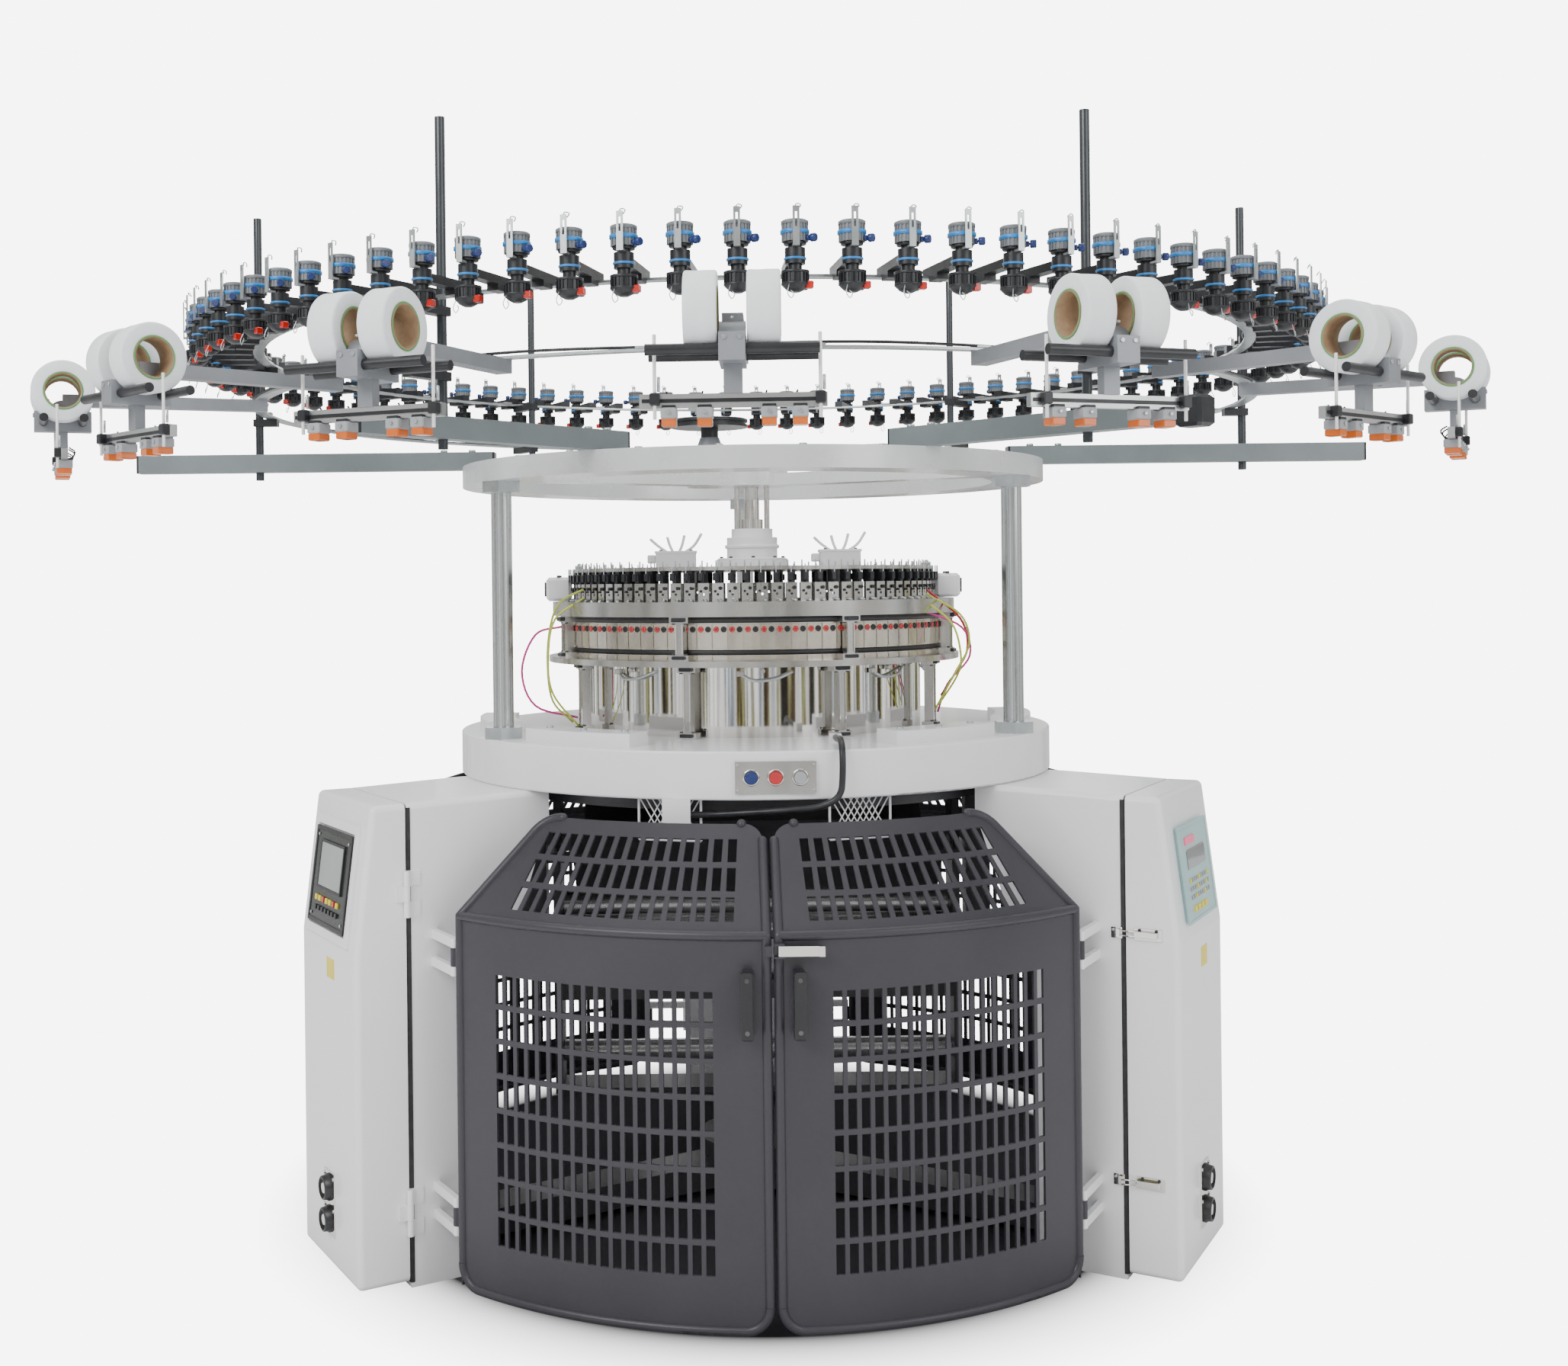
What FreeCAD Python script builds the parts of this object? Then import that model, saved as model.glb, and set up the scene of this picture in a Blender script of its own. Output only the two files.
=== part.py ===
import FreeCAD, Part

import math
import os

# Circular knitting machine with a cylinder and a dial.  Millimetres, +Z up, the
# origin on the floor under the machine's axis, the front facing -Y.  A piece is
# drawn at the front (azimuth 0) and turned to its azimuth, positive to the right.

V = FreeCAD.Vector
UP = V(0, 0, 1)
AXIS = V(0, 0, 0)

# ---- driving dimensions ------------------------------------------------------
RUN = 0.05               # radial running clearance of a shaft in its hole
GAP = 0.4                # clearance between pieces of different bodies
LEG_AZIMUTHS = (-60, 60, 180)
OPENING_AZIMUTHS = (0, 120, 240)

BED_R = 735
BED_TOP = 1155
BED_THICK = 104

LEG_WIDTH = 373
LEG_INNER_R = 662
LEG_FOOT_R = 795
LEG_THROAT = 235
SEAM_R = 1003
SEAM_GAP = 4
LEG_ROUND = 14
COVER_R = 1118
COVER_TOP_R = 1078
COVER_TOP = 1043
COVER_BEND = 730
COVER_WALL = 3
COVER_FOOT = 12
COVER_OPEN_HEIGHTS = (850, 165)
COVER_HINGE_R = 7
COVER_HINGE_LENGTH = 100
COVER_PIN_R = 3

PANEL_WIDTH = 230
PANEL_HEIGHT = 200
PANEL_THICK = 10
PANEL_LOW = 765

GATE_R = 987
GATE_WALL = 6
GATE_BEAD_R = 10
GATE_SEAM_HALF = 2
GATE_EDGE = 41.0
GATE_LOW = 40
GATE_FOLD = 817
GATE_TOP = 1012
GATE_TOP_R = 806
GATE_TOP_EDGE = 35.5
GATE_CORNER_R = 48
GATE_TOP_REACH = 42
SLOT_COLUMNS = 18
SLOT_ROWS = 8
SLOT_SIZE = (18, 60)
SLOT_PITCH = (27.3, 71.4)
SLOT_LOW = 147
SLOT_START = 128
UPPER_ROWS = 3
UPPER_COLUMNS = 15
UPPER_SIZE = (18, 56)
UPPER_PITCH = 70
UPPER_START = 31
UPPER_SPAN = (5.0, 33.0)
HINGE_HEIGHTS = (728, 180)
HINGE_HALF = 40
HINGE_R = 8
HINGE_PIN_R = 4
HANDLE_AZIMUTH = 2.9
HANDLE_SPAN = (622, 752)
HANDLE_BAR = (20, 14)
HANDLE_STAND = 34
LATCH_Z = 781
LATCH_LENGTH = 84
LATCH_THICK = 8
LATCH_START = 14
LATCH_HEIGHT = 20
LATCH_PIN_R = 2

DRUM_R = 420
DRUM_WALL = 46
CYLINDER_CLEAR = 14
BED_HOLE_R = DRUM_R - DRUM_WALL - CYLINDER_CLEAR
DRUM_TOP = 1321
RIM_R = 516
RIM_THICK = 14
CAM_R = 482
CAM_INNER_R = 366
CAM_TOP = 1421
CAM_GROOVE = (1348, 1360)
FEEDS = 84
BRACKETS = 8
BRACKET_AZIMUTH = 24
BRACKET_SIZE = (46, 30)
BRACKET_WEB = 20
BRACKET_FLANGE = 14
LOWER_BRACKET_R = 455
UPPER_BRACKET_R = 498
STEEL_R = 506
STEEL_INNER_R = 402
STEEL_TOP = 1469
STEEL_THICK = 34
CARRIER_R = 450
CARRIER_TOP = 1512
HOLDER_TOP = 1541
DIAL_PLATE_R = 452
DIAL_PLATE_THICK = 9
BOX_SPOTS = (-190, 200)
HUB_R = 64
HUB_TOP = 1648
SHAFT_R = 19
ROD_R = 7

POST_R = 24
POST_CIRCLE = 689
NUT_ACROSS = 82
NUT_HEIGHT = 26
RING_R = 727
RING_INNER_R = 602
RING_LOW = 1755
RING_TOP = 1805
SPIDER_WIDTH = 70
SPIDER_HUB_R = 92

PULLEY_SPOT = (-105, 0)
PULLEY_R = 97
PULLEY_HEIGHTS = (1906, 1968)
PULLEY_THICK = (20, 9)
PULLEY_SHAFT_R = 12

BEAM = 45
BEAM_WALL = 4
FRONT_BEAM = ((306, 540), (790, 1090))
SIDE_BEAM = ((655, 0), (1550, 0))
CREEL_POST_R = 10
CREEL_POST_TOP = 2450
FRONT_POST = (645, 926)
SIDE_POST = (1248, 0)
RAIL_R = 1210
RAIL_WIDTH = 26
RAIL_THICK = 5
FEED_RAIL_Z = 2070
LOW_RAIL_R = 1214
LOW_RAIL_Z = 1940
CLAMP = 26

FEEDER_R = 1350
FEEDER_START = -2.65
FEEDER_PULLEY = (24, 2106, 2146)
FEEDER_WHEEL = (25, 2020, 2058)
FEEDER_NECK_R = 12
HEAD_RISE = 22

SPANDEX_AZIMUTHS = (-68.5, -46.6, -24.7, -2.75, 19.15, 41.05, 62.95)
SPOOL_R = 66
SPOOL_WIDTH = 54
SPOOL_OFFSET = 50
SPOOL_CIRCLE = 1640
CORE_R = 41
CORE_BORE_R = 36
ROLL_ROD_R = 9
ROLL_ROD_SPREAD = 40
ROLL_ROD_LENGTH = 274
ROLL_ROD_Z = 1878
UNIT_RAIL_LENGTH = 298
UNIT_RAIL = (14, 22)
UNIT_RAIL_Z = 1812
SENSOR_SPOTS = (-102, -45, 57, 106)
SENSOR_SIZE = (26, 34, 30)

ROTOR_R = 636
ROTOR_RING_WIDTH = 70
ROTOR_RING_THICK = 34
SIDE_PLATE = (120, 18)
SIDE_PLATE_X = 500
SIDE_PLATE_LOW = 235
ROLLER_R = 34
ROLLER_Z = 640
CLOTH_ROLLER_R = 26
CLOTH_ROLLER_Z = 330
JOURNAL_R = 14
BASE_TOP = 120

BUTTON_SPOTS = (-31, 21, 73)
BUTTON_R = 13
BUTTON_LENGTH = 14
BUTTON_PLATE = (172, 68, 5)
BUTTON_DEPTH = 4
BUTTON_TRAVEL = 2.4
BUTTON_Z = 1100
CONDUIT_R = 7
CONDUIT_ROUTE = ((162, -570, 1168), (162, -630, 1169), (162, -690, 1177), (162, -740, 1166),
                 (162, -752, 1112), (158, -750, 1058), (112, -746, 1036), (36, -742, 1030),
                 (-44, -724, 1024), (-104, -700, 1018), (-160, -700, 1018))

BED_LOW = BED_TOP - BED_THICK


# ---- helpers -------------------------------------------------------------------
def block(size, centre, low):
    """A box of (x, y, z) size centred on (x, y), standing on the height low."""
    corner = V(centre[0] - size[0] / 2, centre[1] - size[1] / 2, low)
    return Part.makeBox(size[0], size[1], size[2], corner)


def rod(radius, start, end):
    """A round bar between two points."""
    start, end = V(*start), V(*end)
    return Part.makeCylinder(radius, (end - start).Length, start, end - start)


def disc(radius, low, top, spot=(0, 0)):
    """A round plate or bar that stands upright."""
    return Part.makeCylinder(radius, top - low, V(spot[0], spot[1], low), UP)


def ring(inner, outer, low, top):
    """A flat ring about the machine's axis."""
    return disc(outer, low, top).cut(disc(inner, low, top))


def turned(shape, azimuth):
    """A copy of a piece, turned from the front to its azimuth."""
    copy = shape.copy()
    copy.rotate(AXIS, UP, azimuth)
    return copy


def around(shape, azimuths):
    """Copies of one piece at each azimuth."""
    return [turned(shape, azimuth) for azimuth in azimuths]


def polar(radius, azimuth):
    """The (x, y) of a radius and an azimuth in degrees."""
    angle = math.radians(azimuth)
    return radius * math.sin(angle), -radius * math.cos(angle)


def prism(points, width):
    """A plate with an outline in (radius, height), centred on the front line."""
    corners = [V(-width / 2, -r, z) for r, z in points]
    face = Part.Face(Part.makePolygon(corners + corners[:1]))
    return face.extrude(V(width, 0, 0))


def fused(pieces):
    """One solid made of overlapping pieces."""
    return pieces[0].multiFuse(pieces[1:]).removeSplitter()


def save(node, shapes):
    """Write one node's solids to its own file."""
    solids = [solid for shape in shapes for solid in shape.Solids]
    Part.makeCompound(solids).exportStep("parts/" + node + ".step")
    print(node, len(solids), round(sum(s.Volume for s in solids) / 1e6, 2))


def evenly(count, start=0.0):
    """Azimuths of count places round the machine."""
    return [start + 360.0 * index / count for index in range(count)]


# ---- legs and cabinet covers ---------------------------------------------------
def slope_r(z, inset=0):
    """Radius of the cover's outer face at a height."""
    if z <= COVER_BEND:
        return COVER_R - inset
    share = (z - COVER_BEND) / (COVER_TOP - COVER_BEND)
    return COVER_R - inset - share * (COVER_R - COVER_TOP_R)


def soften(solid, radius, chosen):
    """Round the edges that a test picks."""
    edges = [edge for edge in solid.Edges if chosen(edge)]
    return solid.makeFillet(radius, edges)


def hinge_place():
    """The cover's hinge line: (x, y) beside the seam, in the leg's front frame."""
    return LEG_WIDTH / 2 + COVER_HINGE_R + 1, -SEAM_R


def gate_pin():
    """Radius and azimuth of the gate's hinge line."""
    reach = GATE_BEAD_R + HINGE_R + 2
    return GATE_R, GATE_EDGE + math.degrees(reach / GATE_R)


def gate_lugs(side):
    """Cast arms from a leg's side to the hinge pins of the gate beside it."""
    radius, azimuth = gate_pin()
    x, y = polar(radius, 60 - azimuth)
    pieces = []
    for height in HINGE_HEIGHTS:
        for low in (height - HINGE_HALF, height + HINGE_HALF / 2):
            start, length = LEG_WIDTH / 2 - 5, x - LEG_WIDTH / 2 + 5
            arm = block((length, 12, HINGE_HALF / 2), (start + length / 2, y), low)
            pieces += [arm, disc(HINGE_R, low, low + HINGE_HALF / 2, (x, y))]
        pieces.append(disc(HINGE_PIN_R, height - HINGE_HALF, height + HINGE_HALF, (x, y)))
    if side < 0:
        pieces = [piece.mirror(AXIS, V(1, 0, 0)) for piece in pieces]
    return pieces


def cover_lugs():
    """Outer knuckles and the pin of the cover's two hinges, fixed to the leg."""
    x, y = hinge_place()
    third = COVER_HINGE_LENGTH / 3
    pieces = []
    for height in COVER_OPEN_HEIGHTS:
        low = height - COVER_HINGE_LENGTH / 2
        for start in (low, low + 2 * third):
            pieces.append(disc(COVER_HINGE_R, start, start + third, (x, y)))
            leaf = block((4, 30, third), (LEG_WIDTH / 2 + 1, y + 17), start)
            pieces += [leaf, block((6, 8, third), (x - 4, y + 6), start)]
        pieces.append(disc(COVER_PIN_R, low, low + COVER_HINGE_LENGTH, (x, y)))
    return pieces


def leg_casting():
    """Box leg that carries the bed, with a curved throat under it."""
    outer = [(SEAM_R - SEAM_GAP, 0), (SEAM_R - SEAM_GAP, COVER_TOP), (BED_R + 12, BED_LOW),
             (LEG_INNER_R, BED_LOW), (LEG_INNER_R, BED_LOW - 60), (LEG_INNER_R + 60, BED_LOW - LEG_THROAT),
             (LEG_FOOT_R, 640), (LEG_FOOT_R, 0)]
    body = prism(outer, LEG_WIDTH)
    body = soften(body, LEG_ROUND, lambda e: is_side_edge(e, COVER_TOP - 3))
    return fused([body] + gate_lugs(1) + gate_lugs(-1) + cover_lugs())


def is_side_edge(edge, height):
    """Long edges of a leg's or cover's top, on its two sides."""
    box = edge.BoundBox
    flat = box.XLength < 1
    return flat and box.ZMin > height and box.YLength > 30


def cover_shell():
    """Deep sheet-steel cabinet cover, open towards the leg."""
    def outline(inset, back):
        top = COVER_TOP - inset
        return [(back, COVER_FOOT + inset), (slope_r(0, inset), COVER_FOOT + inset),
                (slope_r(COVER_BEND, inset), COVER_BEND), (slope_r(COVER_TOP, inset), top), (back, top)]
    outer = prism(outline(0, SEAM_R), LEG_WIDTH)
    outer = soften(outer, LEG_ROUND, is_cover_edge)
    inner = prism(outline(COVER_WALL, SEAM_R - 1), LEG_WIDTH - 2 * COVER_WALL)
    inner = soften(inner, LEG_ROUND - COVER_WALL, is_cover_edge)
    shell = outer.cut(inner)
    x, y = hinge_place()
    third = COVER_HINGE_LENGTH / 3
    pieces = [shell]
    for height in COVER_OPEN_HEIGHTS:
        low = height - third / 2 + GAP
        tall = third - 2 * GAP
        knuckle = disc(COVER_HINGE_R, low, low + tall, (x, y))
        strap = block((8, 22, tall), (x - 5, y - 13), low)
        pin_hole = disc(COVER_PIN_R + RUN, low, low + tall, (x, y))
        pieces.append(fused([knuckle, strap]).cut(pin_hole))
    return fused(pieces)


def is_cover_edge(edge):
    """Edges of the cover's outer face and of its long sides."""
    box = edge.BoundBox
    along_x = box.XLength > LEG_WIDTH / 2 and box.YMax < -(SEAM_R + 20)
    up_side = box.ZLength > 100 and box.YMax < -(SEAM_R + 20)
    top_side = box.YLength > 60 and box.ZLength < 1
    return (along_x and abs(box.ZMin - COVER_BEND) > 5) or up_side or top_side


def screen():
    """Flat operating panel on the sloped part of a cover."""
    low, high = PANEL_LOW, PANEL_LOW + PANEL_HEIGHT
    points = [(slope_r(low), low), (slope_r(low) + PANEL_THICK, low),
              (slope_r(high) + PANEL_THICK, high), (slope_r(high), high)]
    panel = prism(points, PANEL_WIDTH)
    return soften(panel, 4, lambda e: e.BoundBox.YMax < -slope_r(high) - PANEL_THICK + 1)


def build_legs():
    """Three legs, their covers and the two operating panels."""
    names = ("left", "right", "rear")
    leg, cover, panel = leg_casting(), cover_shell(), screen()
    for name, azimuth in zip(names, LEG_AZIMUTHS):
        save("leg_" + name, [turned(leg, azimuth)])
        save("cover_" + name, [turned(cover, azimuth)])
    save("screen_left", [turned(panel, LEG_AZIMUTHS[0])])
    save("panel_right", [turned(panel, LEG_AZIMUTHS[1])])


# ---- safety gates -----------------------------------------------------------------
def wedge(low_edge, high_edge, low, high):
    """Solid between azimuth 0 and an edge whose azimuth changes with height."""
    reach = 2 * GATE_R
    start = GATE_SEAM_HALF + GATE_BEAD_R
    low_x, low_y = polar(reach, low_edge)
    high_x, high_y = polar(reach, high_edge)
    bottom = Part.makePolygon([V(start, 0, low), V(start, -reach, low), V(low_x, low_y, low),
                               V(start, 0, low)])
    top = Part.makePolygon([V(start, 0, high), V(start, -reach, high), V(high_x, high_y, high),
                            V(start, 0, high)])
    return Part.makeLoft([bottom, top], True, True)


def gate_skin():
    """Moulded sheet: upright lower part and an upper part that leans inwards."""
    half = GATE_WALL / 2
    lower = ring(GATE_R - half, GATE_R + half, GATE_LOW, GATE_FOLD)
    cones = []
    for offset in (half, -half):
        cones.append(Part.makeCone(GATE_R + offset, GATE_TOP_R + offset, GATE_TOP - GATE_FOLD,
                                   V(0, 0, GATE_FOLD), UP))
    for cone in cones:
        cone.rotate(AXIS, UP, 45)
    upper = cones[0].cut(cones[1])
    lower = lower.common(wedge(GATE_EDGE, GATE_EDGE, GATE_LOW, GATE_FOLD))
    upper = upper.common(wedge(GATE_EDGE, GATE_TOP_EDGE, GATE_FOLD, GATE_TOP))
    return lower.cut(slots()), upper.cut(upper_slots())


def slots():
    """Columns and rows of upright slots in the lower part."""
    cutters = []
    for column in range(SLOT_COLUMNS):
        azimuth = math.degrees((SLOT_START + column * SLOT_PITCH[0]) / GATE_R)
        for row in range(SLOT_ROWS):
            low = SLOT_LOW + row * SLOT_PITCH[1]
            cutter = block((SLOT_SIZE[0], 40, SLOT_SIZE[1]), (0, -GATE_R), low)
            cutters.append(turned(cutter, azimuth))
    return Part.makeCompound(cutters)


def upper_slots():
    """Rows of slots in the leaning part, one more in each lower row."""
    cutters = []
    drop = GATE_R - GATE_TOP_R
    rise = GATE_TOP - GATE_FOLD
    tilt = math.degrees(math.atan2(drop, rise))
    slope = math.hypot(drop, rise)
    start, end = UPPER_SPAN
    for row in range(UPPER_ROWS):
        share = (UPPER_START + UPPER_SIZE[1] / 2 + row * UPPER_PITCH) / slope
        count = UPPER_COLUMNS + UPPER_ROWS - 1 - row
        for column in range(count):
            cutter = block((UPPER_SIZE[0], 40, UPPER_SIZE[1]), (0, 0), -UPPER_SIZE[1] / 2)
            cutter.rotate(AXIS, V(1, 0, 0), -tilt)
            cutter.translate(V(0, share * drop - GATE_R, GATE_FOLD + share * rise))
            cutters.append(turned(cutter, start + column * (end - start) / (count - 1)))
    return Part.makeCompound(cutters)


def bead(points):
    """Round rim along a run of straight pieces, with a ball at each corner."""
    pieces = [Part.makeSphere(GATE_BEAD_R, V(*point)) for point in points]
    for start, end in zip(points, points[1:]):
        pieces.append(rod(GATE_BEAD_R, start, end))
    return pieces


def arc_bead(radius, height, start, end):
    """Round rim along an arc about the machine's axis."""
    torus = Part.makeTorus(radius, GATE_BEAD_R, V(0, 0, height), UP, 0, 360, end - start)
    torus.rotate(AXIS, UP, start - 90)
    return torus


def seam_azimuth(radius):
    """Azimuth of the seam-side rim's centre at a radius."""
    return math.degrees(math.asin((GATE_SEAM_HALF + GATE_BEAD_R) / radius))


def corner_trim(azimuth, side):
    """Takes a bottom corner of the skin off, outside its rounded rim."""
    size = GATE_CORNER_R + 1
    square = block((size, 60, size), (side * size / 2, -GATE_R), GATE_LOW - 1)
    square = square.cut(rod(GATE_CORNER_R, (0, -GATE_R - 40, GATE_LOW + GATE_CORNER_R),
                            (0, -GATE_R + 40, GATE_LOW + GATE_CORNER_R)))
    shift = math.degrees(GATE_CORNER_R / GATE_R)
    return turned(square, azimuth - side * shift)


def corner_bead(azimuth, side):
    """Rounded stretch of rim at a bottom corner."""
    torus = Part.makeTorus(GATE_CORNER_R, GATE_BEAD_R, AXIS, V(0, 1, 0), 0, 360, 90)
    torus.rotate(AXIS, V(0, 1, 0), 90 if side > 0 else 180)
    torus.translate(V(0, -GATE_R, GATE_LOW + GATE_CORNER_R))
    shift = math.degrees(GATE_CORNER_R / GATE_R)
    return turned(torus, azimuth - side * shift)


def top_corner(azimuth, side):
    """Rounded stretch of rim at a top corner, what it takes off the skin, and where it ends."""
    turn = side * 2 * math.degrees(math.asin(GATE_TOP_REACH / 2 / GATE_TOP_R))
    foot = GATE_EDGE if side > 0 else seam_azimuth(GATE_R)
    corner = V(*polar(GATE_TOP_R, azimuth), GATE_TOP)
    along = (V(*polar(GATE_TOP_R, azimuth - turn), GATE_TOP) - corner).normalize()
    down = (V(*polar(GATE_R, foot), GATE_FOLD) - corner).normalize()
    half = along.getAngle(down) / 2
    first, last = corner + along * GATE_TOP_REACH, corner + down * GATE_TOP_REACH
    inward = (along + down).normalize()
    radius = GATE_TOP_REACH * math.tan(half)
    middle = corner + inward * (radius / math.sin(half) - radius)
    arc = Part.Arc(first, middle, last).toShape()
    centre = corner + inward * (radius / math.sin(half))
    spoke, other = (first - centre).normalize(), (last - centre).normalize()
    axis = spoke.cross(other).normalize()
    third = axis.cross(spoke)
    tube = Part.makeTorus(radius, GATE_BEAD_R, AXIS, UP, 0, 360, math.degrees(spoke.getAngle(other)))
    tube.transformShape(FreeCAD.Matrix(spoke.x, third.x, axis.x, centre.x, spoke.y, third.y, axis.y, centre.y,
                                       spoke.z, third.z, axis.z, centre.z, 0, 0, 0, 1))
    reach = GATE_TOP_REACH / 2
    beyond = [last - along * reach, corner - inward * 2 * reach, first - down * reach]
    edges = [Part.makeLine(one, two) for one, two in zip([last] + beyond, beyond + [first])]
    face = Part.Face(Part.Wire([arc] + edges))
    normal = along.cross(down).normalize()
    face.translate(normal * -30)
    return tube, face.extrude(normal * 60), turn, last


def gate_rims():
    """The round rim about both parts and along the fold, and the trims of its top corners."""
    edge_x, edge_y = polar(GATE_R, GATE_EDGE)
    seam_low = seam_azimuth(GATE_R)
    seam_top = seam_azimuth(GATE_TOP_R)
    near_x, near_y = polar(GATE_R, seam_low)
    corner = math.degrees(GATE_CORNER_R / GATE_R)
    base = GATE_LOW + GATE_CORNER_R
    seam_tube, seam_trim, seam_turn, seam_end = top_corner(seam_top, -1)
    edge_tube, edge_trim, edge_turn, edge_end = top_corner(GATE_TOP_EDGE, 1)
    pieces = bead([(near_x, near_y, base), (near_x, near_y, GATE_FOLD), tuple(seam_end)])
    pieces += bead([(edge_x, edge_y, base), (edge_x, edge_y, GATE_FOLD), tuple(edge_end)])
    pieces.append(arc_bead(GATE_R, GATE_LOW, seam_low + corner, GATE_EDGE - corner))
    pieces.append(arc_bead(GATE_R, GATE_FOLD, seam_low, GATE_EDGE))
    pieces.append(arc_bead(GATE_TOP_R, GATE_TOP, seam_top - seam_turn, GATE_TOP_EDGE - edge_turn))
    pieces += [Part.makeSphere(GATE_BEAD_R, V(*polar(GATE_TOP_R, azimuth), GATE_TOP))
               for azimuth in (seam_top - seam_turn, GATE_TOP_EDGE - edge_turn)]
    pieces += [seam_tube, edge_tube]
    pieces.append(corner_bead(GATE_EDGE, 1))
    pieces.append(corner_bead(seam_low, -1))
    return pieces, [seam_trim, edge_trim]


def gate_fittings():
    """Handle, hinge knuckles and the straps that carry them, on a right-hand gate."""
    radius, azimuth = gate_pin()
    x, y = polar(radius, azimuth)
    pieces, holes = [], []
    for height in HINGE_HEIGHTS:
        low, tall = height - HINGE_HALF / 2 + GAP, HINGE_HALF - 2 * GAP
        pieces.append(disc(HINGE_R, low, low + tall, (x, y)))
        strap = block((16, 9, tall), (-9, -GATE_R), low)
        pieces.append(turned(strap, azimuth))
        holes.append(disc(HINGE_PIN_R + RUN, low - 1, low + tall + 1, (x, y)))
    bar_y = -GATE_R - HANDLE_STAND
    low, high = HANDLE_SPAN
    grip = block((HANDLE_BAR[0], HANDLE_BAR[1], high - low), (0, bar_y), low)
    feet = [block((HANDLE_BAR[0], HANDLE_STAND, 16), (0, bar_y + HANDLE_STAND / 2), z)
            for z in (low, high - 16)]
    pieces += [turned(piece, HANDLE_AZIMUTH) for piece in [grip] + feet]
    return pieces, holes


def right_gate():
    """One leaf that closes the right half of an opening."""
    skins = list(gate_skin())
    trims = [corner_trim(GATE_EDGE, 1), corner_trim(seam_azimuth(GATE_R), -1)]
    rims, top_trims = gate_rims()
    skins[0] = skins[0].cut(Part.makeCompound(trims))
    skins[1] = skins[1].cut(Part.makeCompound(top_trims))
    fittings, holes = gate_fittings()
    return fused(skins + rims + fittings).cut(Part.makeCompound(holes))


def paired_leaves():
    """Right and left leaf, each with its half of the latch."""
    plain = right_gate()
    right = fused([plain] + latch_base())
    return right, fused([plain.mirror(AXIS, V(1, 0, 0)), latch_keeper()])


def latch_place():
    """Radius of the skin's face and of the latch lever's pin."""
    face = GATE_R + GATE_WALL / 2
    return face, face + GATE_BEAD_R + LATCH_THICK / 2 + 3


def latch_lever():
    """Toggle lever that lies on the right leaf beside the seam."""
    _, pin = latch_place()
    tall, thick = LATCH_HEIGHT, LATCH_THICK
    lever = block((LATCH_LENGTH, thick, tall), (LATCH_START + LATCH_LENGTH / 2, -pin), LATCH_Z)
    tip = block((12, 5, tall), (LATCH_START + LATCH_LENGTH - 2, -pin - 5), LATCH_Z)
    knuckle = disc(thick / 2, LATCH_Z, LATCH_Z + tall, (LATCH_START, -pin))
    hole = disc(LATCH_PIN_R + RUN, LATCH_Z - 1, LATCH_Z + tall + 1, (LATCH_START, -pin))
    return fused([lever, tip, knuckle]).cut(hole)


def latch_base():
    """Base, ears and pin of the latch, on the right leaf."""
    face, pin = latch_place()
    front = pin - LATCH_THICK / 2 - GAP
    width = 50
    base = block((width, front - face + 3, LATCH_HEIGHT),
                 (GATE_SEAM_HALF + 1 + width / 2, -(front + face - 3) / 2), LATCH_Z)
    ears = [block((20, pin + 4 - face + 3, 4), (LATCH_START - 1, -(pin + 4 + face - 3) / 2), z)
            for z in (LATCH_Z - 4 - GAP, LATCH_Z + LATCH_HEIGHT + GAP)]
    pivot = disc(LATCH_PIN_R, LATCH_Z - 3, LATCH_Z + LATCH_HEIGHT + 3, (LATCH_START, -pin))
    return [base, pivot] + ears


def latch_keeper():
    """Catch block beside the seam, on the left leaf."""
    face, pin = latch_place()
    return block((14, pin + 4 - face + 3, 20), (-GATE_SEAM_HALF - 7, -(pin + 4 + face - 3) / 2), LATCH_Z)


def build_gates():
    """A pair of leaves in each opening and the front pair's latch."""
    right, left = paired_leaves()
    for name, azimuth in zip(("front", "side_right", "side_left"), OPENING_AZIMUTHS):
        save("gate_%s_r" % name, [turned(right, azimuth)])
        save("gate_%s_l" % name, [turned(left, azimuth)])
    save("gate_latch", [latch_lever()])


# ---- bed -----------------------------------------------------------------------
def build_bed():
    """The bed, the raised blocks on it and the stand of the take-down."""
    bed = ring(BED_HOLE_R, BED_R, BED_LOW, BED_TOP)
    bed = soften(bed, 5, lambda e: e.Length > 6.2 * BED_R)
    gland = block((26, 30, 22), (CONDUIT_ROUTE[0][0], CONDUIT_ROUTE[0][1] + 15), BED_TOP - 2)
    end_x, end_y, _ = CONDUIT_ROUTE[-1]
    junction = block((60, 40, BED_LOW + 2 - 1000), (end_x - 30, end_y), 1000)
    save("bed_plate", [fused([bed, gland, junction])])
    sector = ring(604, 690, BED_TOP, BED_TOP + 30)
    half = 13
    left_x, left_y = polar(2 * BED_R, -half)
    right_x, right_y = polar(2 * BED_R, half)
    corners = [V(0, 0, BED_TOP), V(left_x, left_y, BED_TOP), V(right_x, right_y, BED_TOP),
               V(0, 0, BED_TOP)]
    slice_ = Part.Face(Part.makePolygon(corners)).extrude(V(0, 0, 60))
    blocks = [azimuth + side * 38 for azimuth in OPENING_AZIMUTHS for side in (-1, 1)]
    save("bed_blocks", around(sector.common(slice_), blocks))
    build_base()
    build_buttons()


def build_base():
    """Three low arms that join the legs to the take-down's bottom bearing."""
    arms = around(block((110, LEG_FOOT_R, 60), (0, -LEG_FOOT_R / 2), 20), LEG_AZIMUTHS)
    centre = disc(150, 20, BASE_TOP)
    save("base_spider", [fused(arms + [centre])])


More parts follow.
